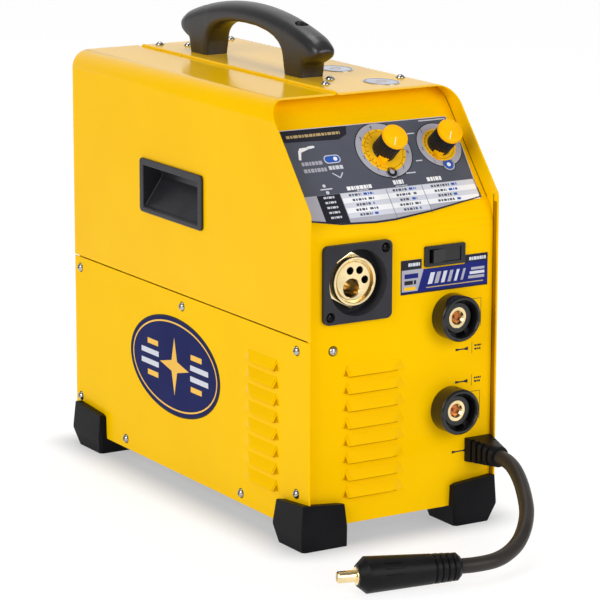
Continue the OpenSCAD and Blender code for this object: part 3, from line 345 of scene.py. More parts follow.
for make, table in ((powderCoat, coats), (mouldedPlastic, mouldings), (plainMetal, metals),
                    (printedFilm, films)):
    for name, values in table.items():
        finish[name] = make(name, *values)

# the torch flange's screws are darker: they lie left of, in front of and above these planes, metres
flangeScrews = {"left": -0.010, "front": -0.203, "above": 0.190, "colour": (0.02, 0.02, 0.022, 1)}


def darkenFlangeScrews(mat, d=flangeScrews):
    tree = mat.node_tree
    split = tree.nodes.new("ShaderNodeSeparateXYZ")
    tree.links.new(tree.nodes.new("ShaderNodeTexCoord").outputs["Object"], split.inputs[0])
    left = mathStep(tree, "LESS_THAN", split.outputs["X"], d["left"])
    front = mathStep(tree, "LESS_THAN", split.outputs["Y"], d["front"])
    above = mathStep(tree, "GREATER_THAN", split.outputs["Z"], d["above"])
    inside = mathStep(tree, "MULTIPLY", mathStep(tree, "MULTIPLY", left, front), above)
    mix = tree.nodes.new("ShaderNodeMix")
    mix.data_type = "RGBA"
    plain, dark, mixed = mix.inputs[6], mix.inputs[7], mix.outputs[2]  # the node's colour sockets
    dark.default_value = d["colour"]
    tree.links.new(inside, mix.inputs["Factor"])
    tree.links.new(tree.nodes["Principled BSDF"].inputs["Base Color"].links[0].from_socket, plain)
    setInput(mat, "Base Color", mixed)


darkenFlangeScrews(finish["zincScrew"])

slotFinish = {
    "yellow_paint": "yellowCoat", "zinc_sheet": "zincSheet", "black_moulding": "blackMoulding",
    "foot_moulding": "footMoulding", "label_print": "labelGrey", "plate_print": "plateBlue",
    "badge_print": "badgeBlue", "badge_silver": "badgeSilver", "zinc_screw": "zincScrew",
    "brass": "brass", "rocker_black": "glossBlack", "rocker_red": "rockerRed",
    "knob_black": "knobBlack", "knob_yellow": "knobYellow", "circuit_board": "boardGreen",
    "cable_rubber": "cableRubber", "cast_alloy": "castAlloy", "steel": "rollerSteel",
    "dark_metal": "darkEnamel",
}
ownFinish = {  # nodes whose finish differs from that of their slot
    "carry_handle": "handleMoulding", "lower_left_panel": "sideCoat", "wire_door": "doorCoat",
    "plug_body": "cableRubber", "torch_socket_housing": "flangeMoulding", "door_pull_cup": "cupMoulding",
    "mode_switch_body": "cupMoulding", "upper_socket_housing": "socketMoulding",
    "lower_socket_housing": "socketMoulding",
}
nodeSlot = {row["node"]: row["material_slot"] for row in frame["record"]["subparts"]}


def dressNodes():
    for name, obj in nodes.items():
        obj.data.materials.clear()
        obj.data.materials.append(finish[ownFinish.get(name, slotFinish[nodeSlot[name]])])


dressNodes()
print("CAD nodes dressed")


def finishPiece(name, bm, mats, body="case", replaces=(), smooth=None):
    bm.normal_update()  # points were moved by hand since the faces were made
    bmesh.ops.recalc_face_normals(bm, faces=bm.faces)
    obj = meshObject(name, bm)
    for mat in mats:
        obj.data.materials.append(finish[mat])
    if smooth:
        obj.data.shade_smooth()
        obj.data.set_sharp_from_angle(angle=math.radians(smooth))
    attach(obj, body)
    if replaces:
        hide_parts(*replaces)
    return obj


def newVerts(made):
    return [part for part in made["geom"] if isinstance(part, bmesh.types.BMVert)]


def loopEdges(verts):
    return list(dict.fromkeys(e for v in verts for e in v.link_edges))


def colourNew(bm, known, mat):
    for face in bm.faces:
        if face not in known:
            face.material_index = mat


# a closed plate or rod: its foot's corners, the way to its top, its material
def raiseFace(bm, corners, shift, mat=0):
    known = set(bm.faces)
    foot = bm.faces.new([bm.verts.new(q) for q in corners])
    bmesh.ops.translate(bm, verts=newVerts(bmesh.ops.extrude_face_region(bm, geom=[foot])), vec=shift)
    colourNew(bm, known, mat)


def joinMesh(bm, part):
    start = set(bm.verts)
    mesh = bpy.data.meshes.new("joined")
    part.to_mesh(mesh)
    part.free()
    bm.from_mesh(mesh)
    bpy.data.meshes.remove(mesh)
    return [v for v in bm.verts if v not in start]


# from a drawing with z towards the viewer to the front panel
def ontoFront(verts, y=frontY, x=0, z=0):
    for v in verts:
        v.co = Vector((x + v.co.x, y - v.co.z, z + v.co.y)) * mm


def spinProfile(profile, segments=96):
    bm = bmesh.new()
    ring = [bm.verts.new((x, 0, z)) for x, z in profile]
    edges = [bm.edges.new(pair) for pair in zip(ring, ring[1:])]
    bmesh.ops.spin(bm, geom=ring + edges, axis=(0, 0, 1), cent=(0, 0, 0), dvec=(0, 0, 0), angle=2 * math.pi,
                   steps=segments, use_merge=True)
    bmesh.ops.remove_doubles(bm, verts=bm.verts, dist=weldGap)
    bmesh.ops.recalc_face_normals(bm, faces=bm.faces)
    return bm


def coneTool(centre, lowRadius, highRadius, low, high, segments=48):
    tool = bmesh.new()
    bmesh.ops.create_cone(tool, cap_ends=True, segments=segments, radius1=lowRadius, radius2=highRadius,
                          depth=high - low)
    bmesh.ops.translate(tool, verts=tool.verts, vec=(*centre, (low + high) / 2))
    return meshObject("cutTool", tool)


# the holder's mesh with its modifiers applied and the cutters taken out of it
def bakedMesh(holder, cutters=()):
    for cutter in cutters:
        cut = holder.modifiers.new("cut", "BOOLEAN")
        cut.operation = "DIFFERENCE"
        cut.solver = "EXACT"
        cut.object = cutter
    made = bpy.data.meshes.new_from_object(holder.evaluated_get(bpy.context.evaluated_depsgraph_get()))
    result = bmesh.new()
    result.from_mesh(made)
    for obj in (holder, *cutters):
        old = obj.data
        bpy.data.objects.remove(obj)
        bpy.data.meshes.remove(old)
    bpy.data.meshes.remove(made)
    return result


# softened edges of the moulded and pressed CAD pieces, widths in millimetres
edgeRounds = {
    "front_left_foot": 1.3, "front_right_foot": 1.3, "rear_left_foot": 1.3, "rear_right_foot": 1.3,
    "torch_socket_housing": 0.8, "mode_switch_body": 0.6, "door_pull_cup": 0.7, "strain_relief": 0.7,
    "upper_socket_housing": 0.5, "lower_socket_housing": 0.5, "plug_body": 0.45, "mode_switch_rocker": 0.4,
    "roof_side_cover": 0.35, "wire_door": 0.35, "lower_left_panel": 0.35, "front_panel": 0.3,
}
edgeForm = {"weld": 0.000002, "segments": 3, "angle": 35}  # metres, steps, degrees


def softenEdges(rounds=edgeRounds, form=edgeForm):
    for name, width in rounds.items():
        weld = nodes[name].modifiers.new("joinFaces", "WELD")
        weld.merge_threshold = form["weld"]
        edge = nodes[name].modifiers.new("edgeRound", "BEVEL")
        edge.width = width * mm
        edge.segments = form["segments"]
        edge.limit_method = "ANGLE"
        edge.angle_limit = math.radians(form["angle"])
        edge.use_clamp_overlap = True


softenEdges()
print("edges softened")


handleShape = {
    "centre": (11, 50), "roof": 368.0, "roofGap": 0.02,
    "top": 422.2, "bow": 338.0,  # crown of the grip and radius of its bow
    "dome": 11.0, "domeShare": 0.62, "domePower": 2.3, "sidePower": 5.0,
    # distance from the middle, underside, drop of the top, half width
    "stations": [(0, 404.4, 0, 12.7), (20, 403.8, 0, 12.7), (38, 401.2, 0, 12.7), (50, 397.6, 0, 12.7),
                 (58, 393.0, 0, 12.7), (63, 387.6, 0, 12.7), (66.4, 380.0, 0, 12.6), (68.6, 360, 0, 12.5),
                 (72, 356, 0, 12.5), (93, 356, 0, 12.5), (96.2, 360, 0, 12.5), (97.6, 376.4, 0, 12.5),
                 (101, 379.6, 0, 12.5), (107, 382.2, 0.2, 12.4), (113, 385.4, 1.4, 11.6),
                 (117.4, 388.8, 3.6, 9.8), (120, 391.6, 6.4, 6.6)],
    "step": 1.2, "ringPoints": 40,
    "grain": 1.1, "smoothing": (0.5, 10),  # size of the blended mesh; strength and number of passes
    "screwHoles": {"away": 79.3, "radius": 6.0, "floor": 384.0, "depth": 60},
}


def handleStation(s, h):
    table = h["stations"]
    for a, b in zip(table, table[1:]):
        if s <= b[0]:
            part = (s - a[0]) / (b[0] - a[0])
            under, drop, half = (a[k] + (b[k] - a[k]) * part for k in (1, 2, 3))
            break
    return under, h["top"] - h["bow"] + math.sqrt(h["bow"] ** 2 - s * s) - drop, half


def handleRing(bm, s, h):
    under, top, half = handleStation(abs(s), h)
    dome = min(h["dome"], h["domeShare"] * (top - under))
    ring = bmesh.ops.create_circle(bm, cap_ends=False, segments=h["ringPoints"], radius=1)["verts"]
    for v in ring:
        c, t = v.co.x, v.co.y
        power = 2 / (h["domePower"] if t >= 0 else h["sidePower"])
        reach = dome if t >= 0 else top - dome - under
        x = math.copysign(abs(c) ** power, c) * half
        z = top - dome + math.copysign(abs(t) ** power, t) * reach
        v.co = Vector((h["centre"][0] + x, h["centre"][1] + s, z)) * mm
    return loopEdges(ring)


def makeHandle(h=handleShape):
    bm = bmesh.new()
    reach = h["stations"][-1][0]
    count = int(2 * reach / h["step"])
    rings = [handleRing(bm, -reach + 2 * reach * k / count, h) for k in range(count + 1)]
    for a, b in zip(rings, rings[1:]):
        bmesh.ops.bridge_loops(bm, edges=a + b)
    for ring in (rings[0], rings[-1]):
        bmesh.ops.contextual_create(bm, geom=ring)
    bmesh.ops.recalc_face_normals(bm, faces=bm.faces)
    holder = meshObject("handleForm", bm)
    remesh = holder.modifiers.new("blend", "REMESH")
    remesh.mode = "VOXEL"
    remesh.voxel_size = h["grain"] * mm
    smooth = holder.modifiers.new("soften", "SMOOTH")
    smooth.factor, smooth.iterations = h["smoothing"]
    x, y = h["centre"]
    hole = h["screwHoles"]
    radius, floor, mouth = hole["radius"] * mm, hole["floor"] * mm, (hole["floor"] + hole["depth"]) * mm
    pins = [coneTool((x * mm, (y + side * hole["away"]) * mm), radius, radius, floor, mouth)
            for side in (-1, 1)]
    blended = bakedMesh(holder, pins)
    bmesh.ops.bisect_plane(blended, geom=blended.verts[:] + blended.edges[:] + blended.faces[:],
                           plane_co=(0, 0, (h["roof"] + h["roofGap"]) * mm), plane_no=(0, 0, 1),
                           clear_inner=True)
    bmesh.ops.holes_fill(blended, edges=[e for e in blended.edges if e.is_boundary], sides=0)
    finishPiece("carryHandle", blended, ["handleMoulding"], replaces=("carry_handle",),
                smooth=38)


makeHandle()
print("handle made")


# a print is a thin closed film, drawn flat in millimetres: x across, y up the face, z out of it
filmDepth = 0.12
layerSteps = (0.7, 1.2, 1.7, 2.2)  # heights of the layers of ink above the face, in film depths
patchSteps = 6  # segments of a rounded corner


def thickenFilm(bm, faces, ink):
    known = set(bm.faces) - set(faces)
    for v in newVerts(bmesh.ops.extrude_face_region(bm, geom=faces)):
        v.co.z -= filmDepth
    colourNew(bm, known, ink)


def inkPatch(bm, level, ink, corners, cornerRound=0):
    ring = [bm.verts.new((a, b, level)) for a, b in corners]
    face = bm.faces.new(ring)
    if cornerRound:
        made = bmesh.ops.bevel(bm, geom=ring, offset=cornerRound, offset_type="OFFSET", segments=patchSteps,
                               profile=0.5, affect="VERTICES", material=-1)
        face = max((f for v in made["verts"] for f in v.link_faces), key=lambda f: f.calc_area())
    thickenFilm(bm, [face], ink)


def inkBar(bm, level, ink, x0, y0, x1, y1, cornerRound=0):
    inkPatch(bm, level, ink, [(x0, y0), (x1, y0), (x1, y1), (x0, y1)], cornerRound)


def inkStroke(bm, level, ink, a, b, width):
    a, b = Vector(a), Vector(b)
    side = (b - a).orthogonal().normalized() * width / 2
    inkPatch(bm, level, ink, [a + side, b + side, b - side, a - side])


def inkDisc(bm, level, ink, centre, radius, segments=64, stretch=1.0):
    made = bmesh.ops.create_circle(bm, cap_ends=True, segments=segments, radius=radius)
    for v in made["verts"]:
        v.co = (centre[0] + v.co.x, centre[1] + v.co.y * stretch, level)
    thickenFilm(bm, [made["verts"][0].link_faces[0]], ink)


def inkRing(bm, level, ink, centre, half, width, segments=96):
    edges = []
    for inset in (0, width):
        loop = bmesh.ops.create_circle(bm, cap_ends=False, segments=segments, radius=1)["verts"]
        for v in loop:
            v.co = (centre[0] + v.co.x * (half[0] - inset), centre[1] + v.co.y * (half[1] - inset), level)
        edges += loopEdges(loop)
    thickenFilm(bm, bmesh.ops.bridge_loops(bm, edges=edges)["faces"], ink)


def inkNumber(bm, level, ink, text, centre, size):
    curve = bpy.data.curves.new("dialNumber", "FONT")
    curve.body = text
    curve.size = size
    curve.align_x = "CENTER"
    curve.align_y = "CENTER"
    curve.extrude = filmDepth / 2
    curve.resolution_u = 3
    holder = linkObject("dialNumber", curve)
    mesh = bpy.data.meshes.new_from_object(holder.evaluated_get(bpy.context.evaluated_depsgraph_get()))
    mesh.transform(Matrix.Translation((centre[0], centre[1], level - filmDepth / 2)))
    known, start = set(bm.faces), set(bm.verts)
    bm.from_mesh(mesh)
    bmesh.ops.remove_doubles(bm, verts=[v for v in bm.verts if v not in start], dist=weldGap)
    colourNew(bm, known, ink)
    bpy.data.objects.remove(holder)
    bpy.data.curves.remove(curve)
    bpy.data.meshes.remove(mesh)


# dashes stand where a machine has wording
def dashRow(bm, level, ink, x0, x1, y0, y1, widths, space=0.7, shortest=0.4):
    x, i = x0, 0
    while x < x1 - shortest:
        end = min(x + widths[i % len(widths)], x1)
        inkBar(bm, level, ink, x, y0, end, y1)
        x, i = end + space, i + 1


# one mark of a print: its drawing function, layer, ink and shape
def drawMark(bm, p, draw, layer, ink, *shape):
    draw(bm, p["face"] + filmDepth * layerSteps[layer], list(p["inks"]).index(ink), *shape)


def drawMarks(bm, p, marks):
    for mark in marks:
        drawMark(bm, p, *mark)


slope = {
    "foot": (-187.87, 283.5),  # y and z of the panel where its height is 0, millimetres
    "angle": math.atan2(84.5, 70),
    "bendStart": -11.3, "bendRadius": 30,
}


def slopePoint(x, u, h):
    under = max(0.0, slope["bendStart"] - u)
    lift = h - (slope["bendRadius"] - math.sqrt(slope["bendRadius"] ** 2 - under ** 2))
    c, s = math.cos(slope["angle"]), math.sin(slope["angle"])
    return Vector((x, slope["foot"][0] + u * c - lift * s, slope["foot"][1] + u * s + lift * c)) * mm


controlPrint = {
    "inks": {"silver": "labelSilver", "white": "labelWhite", "dark": "labelDark", "yellow": "labelYellow",
             "blue": "labelBlue", "gold": "labelGold", "pale": "labelPale", "grey": "labelGrey",
             "orange": "labelOrange"},
    "face": 0.5,  # the label's own thickness
    "outline": [(-79.6, 75.4), (85.8, 74.3), (90.6, 45.8), (88.8, 11.8), (89.4, -5.8), (67.8, -9),
                (34.9, -14.1), (-1.8, -17.9), (-21.1, -18.3), (-54.4, -16.5), (-83.3, -10.9), (-79.7, 12)],
    "table": {
        "top": 12.0, "head": 0.4, "row": 4.7, "rows": 5, "gap": 0.3,
        "pull": (3, 0.995, 0.945),  # the field is drawn in towards this x and the top line
        "columns": [-44.6, 0.2, 35.6, 87.6], "lastColumn": 80, "lastLow": -8.2, "lowestRow": 1,
        "cells": [(-37, -13), (6, 29), (44, 70)], "lastCell": 60, "lastCellLow": -7,
        "sideDashes": (-61.5, -50.5, -1.0, 0.9), "dashHeights": (-1.1, 1.0), "space": 0.9,
        "sideWidths": [2.6, 1.0, 3.2, 1.4], "firstWidths": [2.3, 1.6, 2.8, 1.2],
        "secondWidths": [3.4, 1.1, 2.2], "secondFrom": 2.2,
        "startShift": (1.9, 4), "endShift": (1.3, 3), "splitShift": (0.5, 0.1),  # vary the cells' dashes
    },
    "tableLines": [
        (inkStroke, 2, "grey", (0.2, 11.5), (0.2, -17.0), 0.25),
        (inkStroke, 2, "grey", (35.6, 11.5), (35.6, -15.0), 0.25)],
    "sideColumn": (inkPatch, 1, "dark", [(-67.2, 11.8), (-45.0, 11.8), (-45.0, -15.9), (-67.6, -13.6)]),
    "heads": [  # head strip with its gold line, marks above the table
        (inkPatch, 0, "dark", [(-79.3, 74.7), (-14.2, 74.5), (-16.6, 66.4), (-25.8, 62.2), (-79.6, 63.8)]),
        (dashRow, 1, "gold", -74.5, -22.5, 67.3, 69.9, [3.2, 2.0, 4.4, 2.6, 1.6, 3.6], 0.8),
        (dashRow, 0, "silver", -69.5, -49.5, 40.6, 44.0, [2.4, 3.4, 1.8, 2.8]),
        (dashRow, 0, "silver", -69.8, -48.0, 33.9, 37.4, [3.2, 2.2, 3.0, 1.6]),
        (dashRow, 0, "pale", -45.6, -31.6, 34.6, 38.2, [3.0, 2.2, 3.4]),
        (dashRow, 0, "white", -36.2, -12.2, 13.9, 17.4, [3.4, 2.4, 1.2, 3.0], 0.6),
        (dashRow, 0, "pale", -27.5, -16.5, 12.4, 13.2, [2.0, 3.0], 0.5),
        (dashRow, 0, "white", 9.6, 19.6, 14.6, 18.6, [2.6, 1.6, 2.8], 0.6),
        (dashRow, 0, "pale", 10.6, 22.0, 12.5, 13.3, [3.0, 2.0], 0.5),
        (dashRow, 0, "white", 43.0, 58.2, 14.2, 18.0, [3.0, 2.2, 1.4], 0.6),
        (inkBar, 0, "pale", 41.4, 60.5, 48.6, 61.5),
        (inkBar, 0, "pale", 39.6, 34.1, 46.0, 35.1),
        (inkBar, 0, "pale", 25.6, 23.5, 34.8, 24.5)],
    "symbols": [  # pistol mark, oval selector mark, arrow and thickness mark
        (inkPatch, 0, "white", [(-70.6, 46.6), (-68.4, 46.0), (-65.8, 53.6), (-68.0, 55.6)], 0.6),
        (inkPatch, 0, "white", [(-68.2, 54.2), (-65.4, 53.4), (-56.4, 56.4), (-57.0, 57.8), (-66.2, 57.4)],
         0.5),
        (inkPatch, 0, "white", [(-58.4, 55.8), (-51.4, 56.8), (-51.6, 58.8), (-58.6, 58.4)], 0.8),
        (inkBar, 0, "pale", -47.2, 40.6, -31.4, 48.4, 3.6),
        (inkBar, 1, "blue", -46.4, 41.4, -32.2, 47.6, 3.0),
        (inkDisc, 2, "white", (-36.3, 44.5), 1.9, 24),
        (inkStroke, 0, "pale", (-44.2, 31.4), (-38.2, 26.4), 0.9),
        (inkStroke, 0, "pale", (-38.2, 26.4), (-34.4, 31.2), 0.9),
        (inkBar, 0, "pale", -61.2, 16.6, -49.9, 17.7),
        (inkDisc, 0, "pale", (-56.6, 20.4), 1.5, 20),
        (inkDisc, 0, "pale", (-55.6, 13.9), 1.6, 20)],
    "dials": [
        {"centre": (12.8, 47.8), "eye": (12.6, 26.8), "line": (18.0, 0.5),
         "discs": [(0, "dark", 27.0), (1, "silver", 26.1), (2, "yellow", 20.4)],
         "eyeDiscs": [(0, "dark", 6.9), (1, "silver", 6.0), (2, "dark", 4.6, 32), (3, "silver", 2.2, 24)],
         "numberSize": 4.6,
         "numbers": [("1", 0.4, 29.9), ("2", -8.4, 42.6), ("3", -5.2, 60.6), ("4", 8.6, 70.3),
                     ("5", 31.6, 61.0), ("6", 35.0, 44.0), ("7", 25.2, 29.6)],
         # first angle, step, count, inner radius, what every second one adds to it, outer radius, width, ink
         "ticks": [(-50, 280 / 12, 13, 18.4, 0, 20.0, 0.7, "dark"),
                   (118, 15, 9, 14.4, 1, 17.2, 0.9, "orange")]},
        {"centre": (68.4, 47.5), "eye": (70.0, 27.9), "line": (13.9, 0.5),
         "discs": [(0, "dark", 21.8), (1, "silver", 21.0), (2, "yellow", 15.6)],
         "eyeDiscs": [(0, "dark", 6.6), (1, "silver", 5.8), (2, "blue", 4.4, 32), (3, "white", 1.9, 24)],
         "numberSize": 4.2,
         "numbers": [("1", 57.6, 31.6), ("2", 50.6, 45.4), ("3", 56.2, 62.2)],
         "ticks": [(118, 15, 9, 12.6, 0, 14.6, 0.8, "orange")]},
    ],
    "border": [(88.3, 3.5), (88.7, -3.2), (87.2, -5.6), (67.6, -8.5), (34.8, -13.6), (-1.9, -17.4),
               (-21.2, -17.8), (-54.3, -16.0), (-82.6, -10.6)], "borderWidth": 1.0,
    "edges": [  # pale lines at the top and the right: painted highlights on the label's edges
        (inkStroke, 3, "pale", (-79.2, 75.1), (85.6, 74.0), 0.5),
        (inkStroke, 3, "pale", (85.5, 74.0), (90.2, 45.9), 0.5),
        (inkStroke, 3, "pale", (90.2, 45.9), (88.5, 11.9), 0.5),
        (inkBar, 1, "pale", 57.5, 71.6, 84.4, 72.6)],
    "bendCuts": (-11.3, -12.9, -14.3, -15.6, -16.8),  # they let the film follow the bend
}


# the label's outline below the top line, pulled in along its curved foot
def drawTableField(bm, p):
    top = p["table"]["top"]
    middle, across, high = p["table"]["pull"]
    drawMark(bm, p, inkPatch, 0, "silver", p["outline"])
    bmesh.ops.bisect_plane(bm, geom=bm.verts[:] + bm.edges[:] + bm.faces[:], plane_co=(0, top, 0),
                           plane_no=(0, 1, 0), clear_outer=True)
    bmesh.ops.holes_fill(bm, edges=[e for e in bm.edges if e.is_boundary], sides=0)
    for v in bm.verts:
        v.co.y = top + (v.co.y - top) * high
        v.co.x = middle + (v.co.x - middle) * across


def drawTableRows(bm, p):
    t = p["table"]
    first = t["top"] - t["head"]
    for k in range(t["rows"]):
        high = first - k * t["row"]
        for a, b in zip(t["columns"], t["columns"][1:]):
            low = high - t["row"]
            if b > t["lastColumn"]:
                low = max(low, t["lastLow"])
            if high - low > t["lowestRow"]:
                drawMark(bm, p, inkBar, 1, ("pale", "white")[k % 2], a + t["gap"], low, b - t["gap"], high)
    drawMarks(bm, p, p["tableLines"])


def drawTableEntries(bm, p):
    t = p["table"]
    startStep, startTurn = t["startShift"]
    endStep, endTurn = t["endShift"]
    share, shareStep = t["splitShift"]
    for k in range(t["rows"]):
        middle = t["top"] - t["head"] - (k + 0.5) * t["row"]
        x0, x1, low, high = t["sideDashes"]
        drawMark(bm, p, dashRow, 2, "pale", x0, x1, middle + low, middle + high, t["sideWidths"])
        low, high = (middle + z for z in t["dashHeights"])
        for c, (a, b) in enumerate(t["cells"]):
            if b > t["lastCell"] and middle < t["lastCellLow"]:
                continue
            start, end = a + (k * startStep) % startTurn, b - (k * endStep) % endTurn
            split = start + (b - start) * (share + shareStep * ((k + c) % 3))
            ink = ("blue", "grey")[k in (1, 3) and c != 2]
            drawMark(bm, p, dashRow, 2, "grey", start, split, low, high, t["firstWidths"], t["space"])
            drawMark(bm, p, dashRow, 2, ink, split + t["secondFrom"], end, low, high, t["secondWidths"],
                     t["space"])


def drawDial(bm, p, dial):
    centre = Vector(dial["centre"])
    radius, width = dial["line"]
    for place, discs in (("centre", dial["discs"]), ("eye", dial["eyeDiscs"])):
        for layer, ink, *size in discs:
            drawMark(bm, p, inkDisc, layer, ink, dial[place], *size)
    drawMark(bm, p, inkRing, 3, "orange", centre, (radius, radius), width)
    for text, x, u in dial["numbers"]:
        drawMark(bm, p, inkNumber, 2, "dark", text, (x, u), dial["numberSize"])
    for first, step, count, inner, second, outer, wide, ink in dial["ticks"]:
        for k in range(count):
            turn = math.radians(first + k * step)
            out = Vector((math.cos(turn), math.sin(turn)))
            start = centre + out * (inner + second * (k % 2))
            drawMark(bm, p, inkStroke, 3, ink, start, centre + out * outer, wide)


def makeControlPrint(p=controlPrint):
    bm = bmesh.new()
    drawTableField(bm, p)
    drawMark(bm, p, *p["sideColumn"])
    drawTableRows(bm, p)
    drawTableEntries(bm, p)
    drawMarks(bm, p, p["heads"] + p["symbols"])
    for dial in p["dials"]:
        drawDial(bm, p, dial)
    for a, b in zip(p["border"], p["border"][1:]):
        drawMark(bm, p, inkStroke, 3, "dark", a, b, p["borderWidth"])
    drawMarks(bm, p, p["edges"])
    for u in p["bendCuts"]:
        bmesh.ops.bisect_plane(bm, geom=bm.verts[:] + bm.edges[:] + bm.faces[:],
                               plane_co=(0, u, 0), plane_no=(0, 1, 0))
    for v in bm.verts:
        v.co = slopePoint(*v.co)
    finishPiece("controlPrint", bm, p["inks"].values())


platePrint = {
    "inks": {"dark": "labelDark", "silver": "labelSilver", "blue": "plateBlue", "pale": "labelPale",
             "gold": "labelGold", "yellow": "labelYellow"},
    "face": 0.6,
    "ends": [
        (inkBar, 0, "dark", 2.1, 227.0, 22.2, 234.9),
        (dashRow, 1, "pale", 9.0, 20.5, 229.6, 232.4, [2.2, 1.4, 2.6], 0.5),
        (inkPatch, 0, "silver", [(2.6, 208.4), (18.4, 208.4), (24.4, 226.8), (2.6, 226.8)]),
        (inkBar, 1, "blue", 5.2, 219.4, 18.8, 223.4),  # plain bars, no letters
        (inkBar, 1, "dark", 5.2, 214.2, 13.6, 217.6),
        (inkBar, 1, "dark", 14.6, 214.2, 16.8, 217.6),
        (inkBar, 1, "yellow", 5.2, 209.6, 16.2, 212.2),
        (inkBar, 0, "dark", 66.2, 227.2, 88.9, 233.4),
        (dashRow, 1, "pale", 70.0, 87.0, 228.6, 231.4, [2.4, 1.2, 3.0, 1.8], 0.5)],
    # slanted flashes in place of a name
    "flashes": {"count": 6, "from": 28.4, "pitch": 6.6, "width": 4.4, "narrower": 0.4, "lean": 3.0,
                "low": 212.8, "high": 222.4},
    "lines": [
        (inkBar, 0, "silver", 69.4, 213.0, 85.6, 215.4),
        (inkBar, 0, "pale", 70.8, 216.6, 85.6, 219.0),
        (inkBar, 0, "silver", 72.2, 220.2, 85.6, 222.4),
        (inkBar, 0, "gold", 27.0, 209.6, 84.6, 210.5),
        (inkBar, 1, "dark", 2.1, 206.1, 88.9, 207.2)],
}


def makePlatePrint(p=platePrint):
    bm = bmesh.new()
    drawMarks(bm, p, p["ends"])
    f = p["flashes"]
    for k in range(f["count"]):
        left = f["from"] + k * f["pitch"]
        right = left + f["width"] - k * f["narrower"]
        corners = [(left, f["low"]), (right, f["low"]), (right + f["lean"], f["high"]),
                   (left + f["lean"], f["high"])]
        drawMark(bm, p, inkPatch, 0, ("pale", "silver")[k % 2], corners)
    drawMarks(bm, p, p["lines"])
    ontoFront(bm.verts)
    finishPiece("platePrint", bm, p["inks"].values())


frontMarks = {
    "inks": {"dark": "labelDark"},
    "face": 0.012,  # lifts the marks just off the coat
    "brackets": {"heights": (183, 102.5), "half": 12, "from": 74.2, "to": 83.2, "width": 0.35},
    "plugs": [(57.9, 152.5), (57.9, 124.3), (55.4, 63.6)],  # left end and height of the plain plug marks
    "plugTail": (3.4, 1.1, 0.8),  # length, half width at the end and at the pin
    "plugPin": 0.55, "plugHead": (67.0, 70.6, 0.8, 1.6),  # half width; from, to, half width at both ends
    "notes": [152.5, 124.3],  # heights of an upright line and two rows of dashes right of a plug mark
    "noteLine": (74.4, 74.75, -4.8, 5.0), "noteSpace": 0.5,
    "noteDashes": [(77.2, 84.2, 1.0, 2.6, [1.6, 1.1, 2.0]), (77.2, 83.4, -2.0, -0.4, [2.2, 1.2])],
}


def makeFrontMarks(p=frontMarks):
    bm = bmesh.new()
    b = p["brackets"]
    for z in b["heights"]:
        corners = [(b["from"], z + b["half"]), (b["to"], z + b["half"]), (b["to"], z - b["half"]),
                   (b["from"], z - b["half"])]
        for start, end in zip(corners, corners[1:]):
            drawMark(bm, p, inkStroke, 0, "dark", start, end, b["width"])
    length, back, neck = p["plugTail"]
    head, end, narrow, wide = p["plugHead"]
    for x, z in p["plugs"]:
        pin = x + length
        drawMarks(bm, p, [
            (inkPatch, 0, "dark", [(x, z - back), (pin, z - neck), (pin, z + neck), (x, z + back)]),
            (inkBar, 0, "dark", pin, z - p["plugPin"], head, z + p["plugPin"]),
            (inkPatch, 0, "dark", [(head, z - narrow), (end, z - wide), (end, z + wide),
                                   (head, z + narrow)])])
    left, right, low, high = p["noteLine"]
    for z in p["notes"]:
        drawMark(bm, p, inkBar, 0, "dark", left, z + low, right, z + high)
        for x0, x1, y0, y1, widths in p["noteDashes"]:
            drawMark(bm, p, dashRow, 0, "dark", x0, x1, z + y0, z + y1, widths, p["noteSpace"])
    ontoFront(bm.verts)
    finishPiece("frontMarks", bm, p["inks"].values())


sideBadge = {
    "inks": {"gold": "badgeGold", "pale": "labelPale", "dark": "labelDark", "blue": "badgeBlue"},
    "face": 0.3, "x": -90.0, "y": 19.0, "z": 110.2, "half": (80.5, 44.6), "segments": 96,
    "rim": 1.4, "line": (4.6, 1.5),  # from the edge, width
    "spark": {"corners": 8, "reach": 26, "waist": 0.27},  # a plain four-pointed spark
    # tapering bars on both sides of it: heights, half height, inner and outer end and what the height changes
    "bars": {"heights": (14.4, 4.9, -4.9, -14.4), "half": 2.4, "inner": (28, 0.1), "outer": (66, 1.2)},
}


def makeSideBadge(p=sideBadge):
    bm = bmesh.new()
    across, high = p["half"]
    inkDisc(bm, p["face"], list(p["inks"]).index("blue"), (0, 0), across, p["segments"], high / across)
    for v in bm.verts:  # the badge's own body stands on the panel
        if v.co.z < p["face"] - filmDepth / 2:
            v.co.z = 0
    inset, width = p["line"]
    drawMark(bm, p, inkRing, 0, "dark", (0, 0), (across, high), p["rim"])
    drawMark(bm, p, inkRing, 0, "gold", (0, 0), (across - inset, high - inset), width)
    spark = p["spark"]
    corners = []
    for k in range(spark["corners"]):
        turn = math.pi / 2 + 2 * math.pi * k / spark["corners"]
        reach = spark["reach"] * (1, spark["waist"])[k % 2]
        corners.append((reach * math.cos(turn), reach * math.sin(turn)))
    drawMark(bm, p, inkPatch, 0, "gold", corners)
    bars = p["bars"]
    for side in (-1, 1):
        for k, z in enumerate(bars["heights"]):
            inner = bars["inner"][0] + abs(z) * bars["inner"][1]
            outer = bars["outer"][0] - abs(z) * bars["outer"][1]
            left, right = sorted((side * inner, side * outer))
            ink = "pale" if k in (1, 2) else "gold"
            drawMark(bm, p, inkBar, 0, ink, left, z - bars["half"], right, z + bars["half"])
    for v in bm.verts:
        v.co = Vector((p["x"] - v.co.z, p["y"] - v.co.x, p["z"] + v.co.y)) * mm
    finishPiece("sideBadgePrint", bm, p["inks"].values(), replaces=("side_badge",))


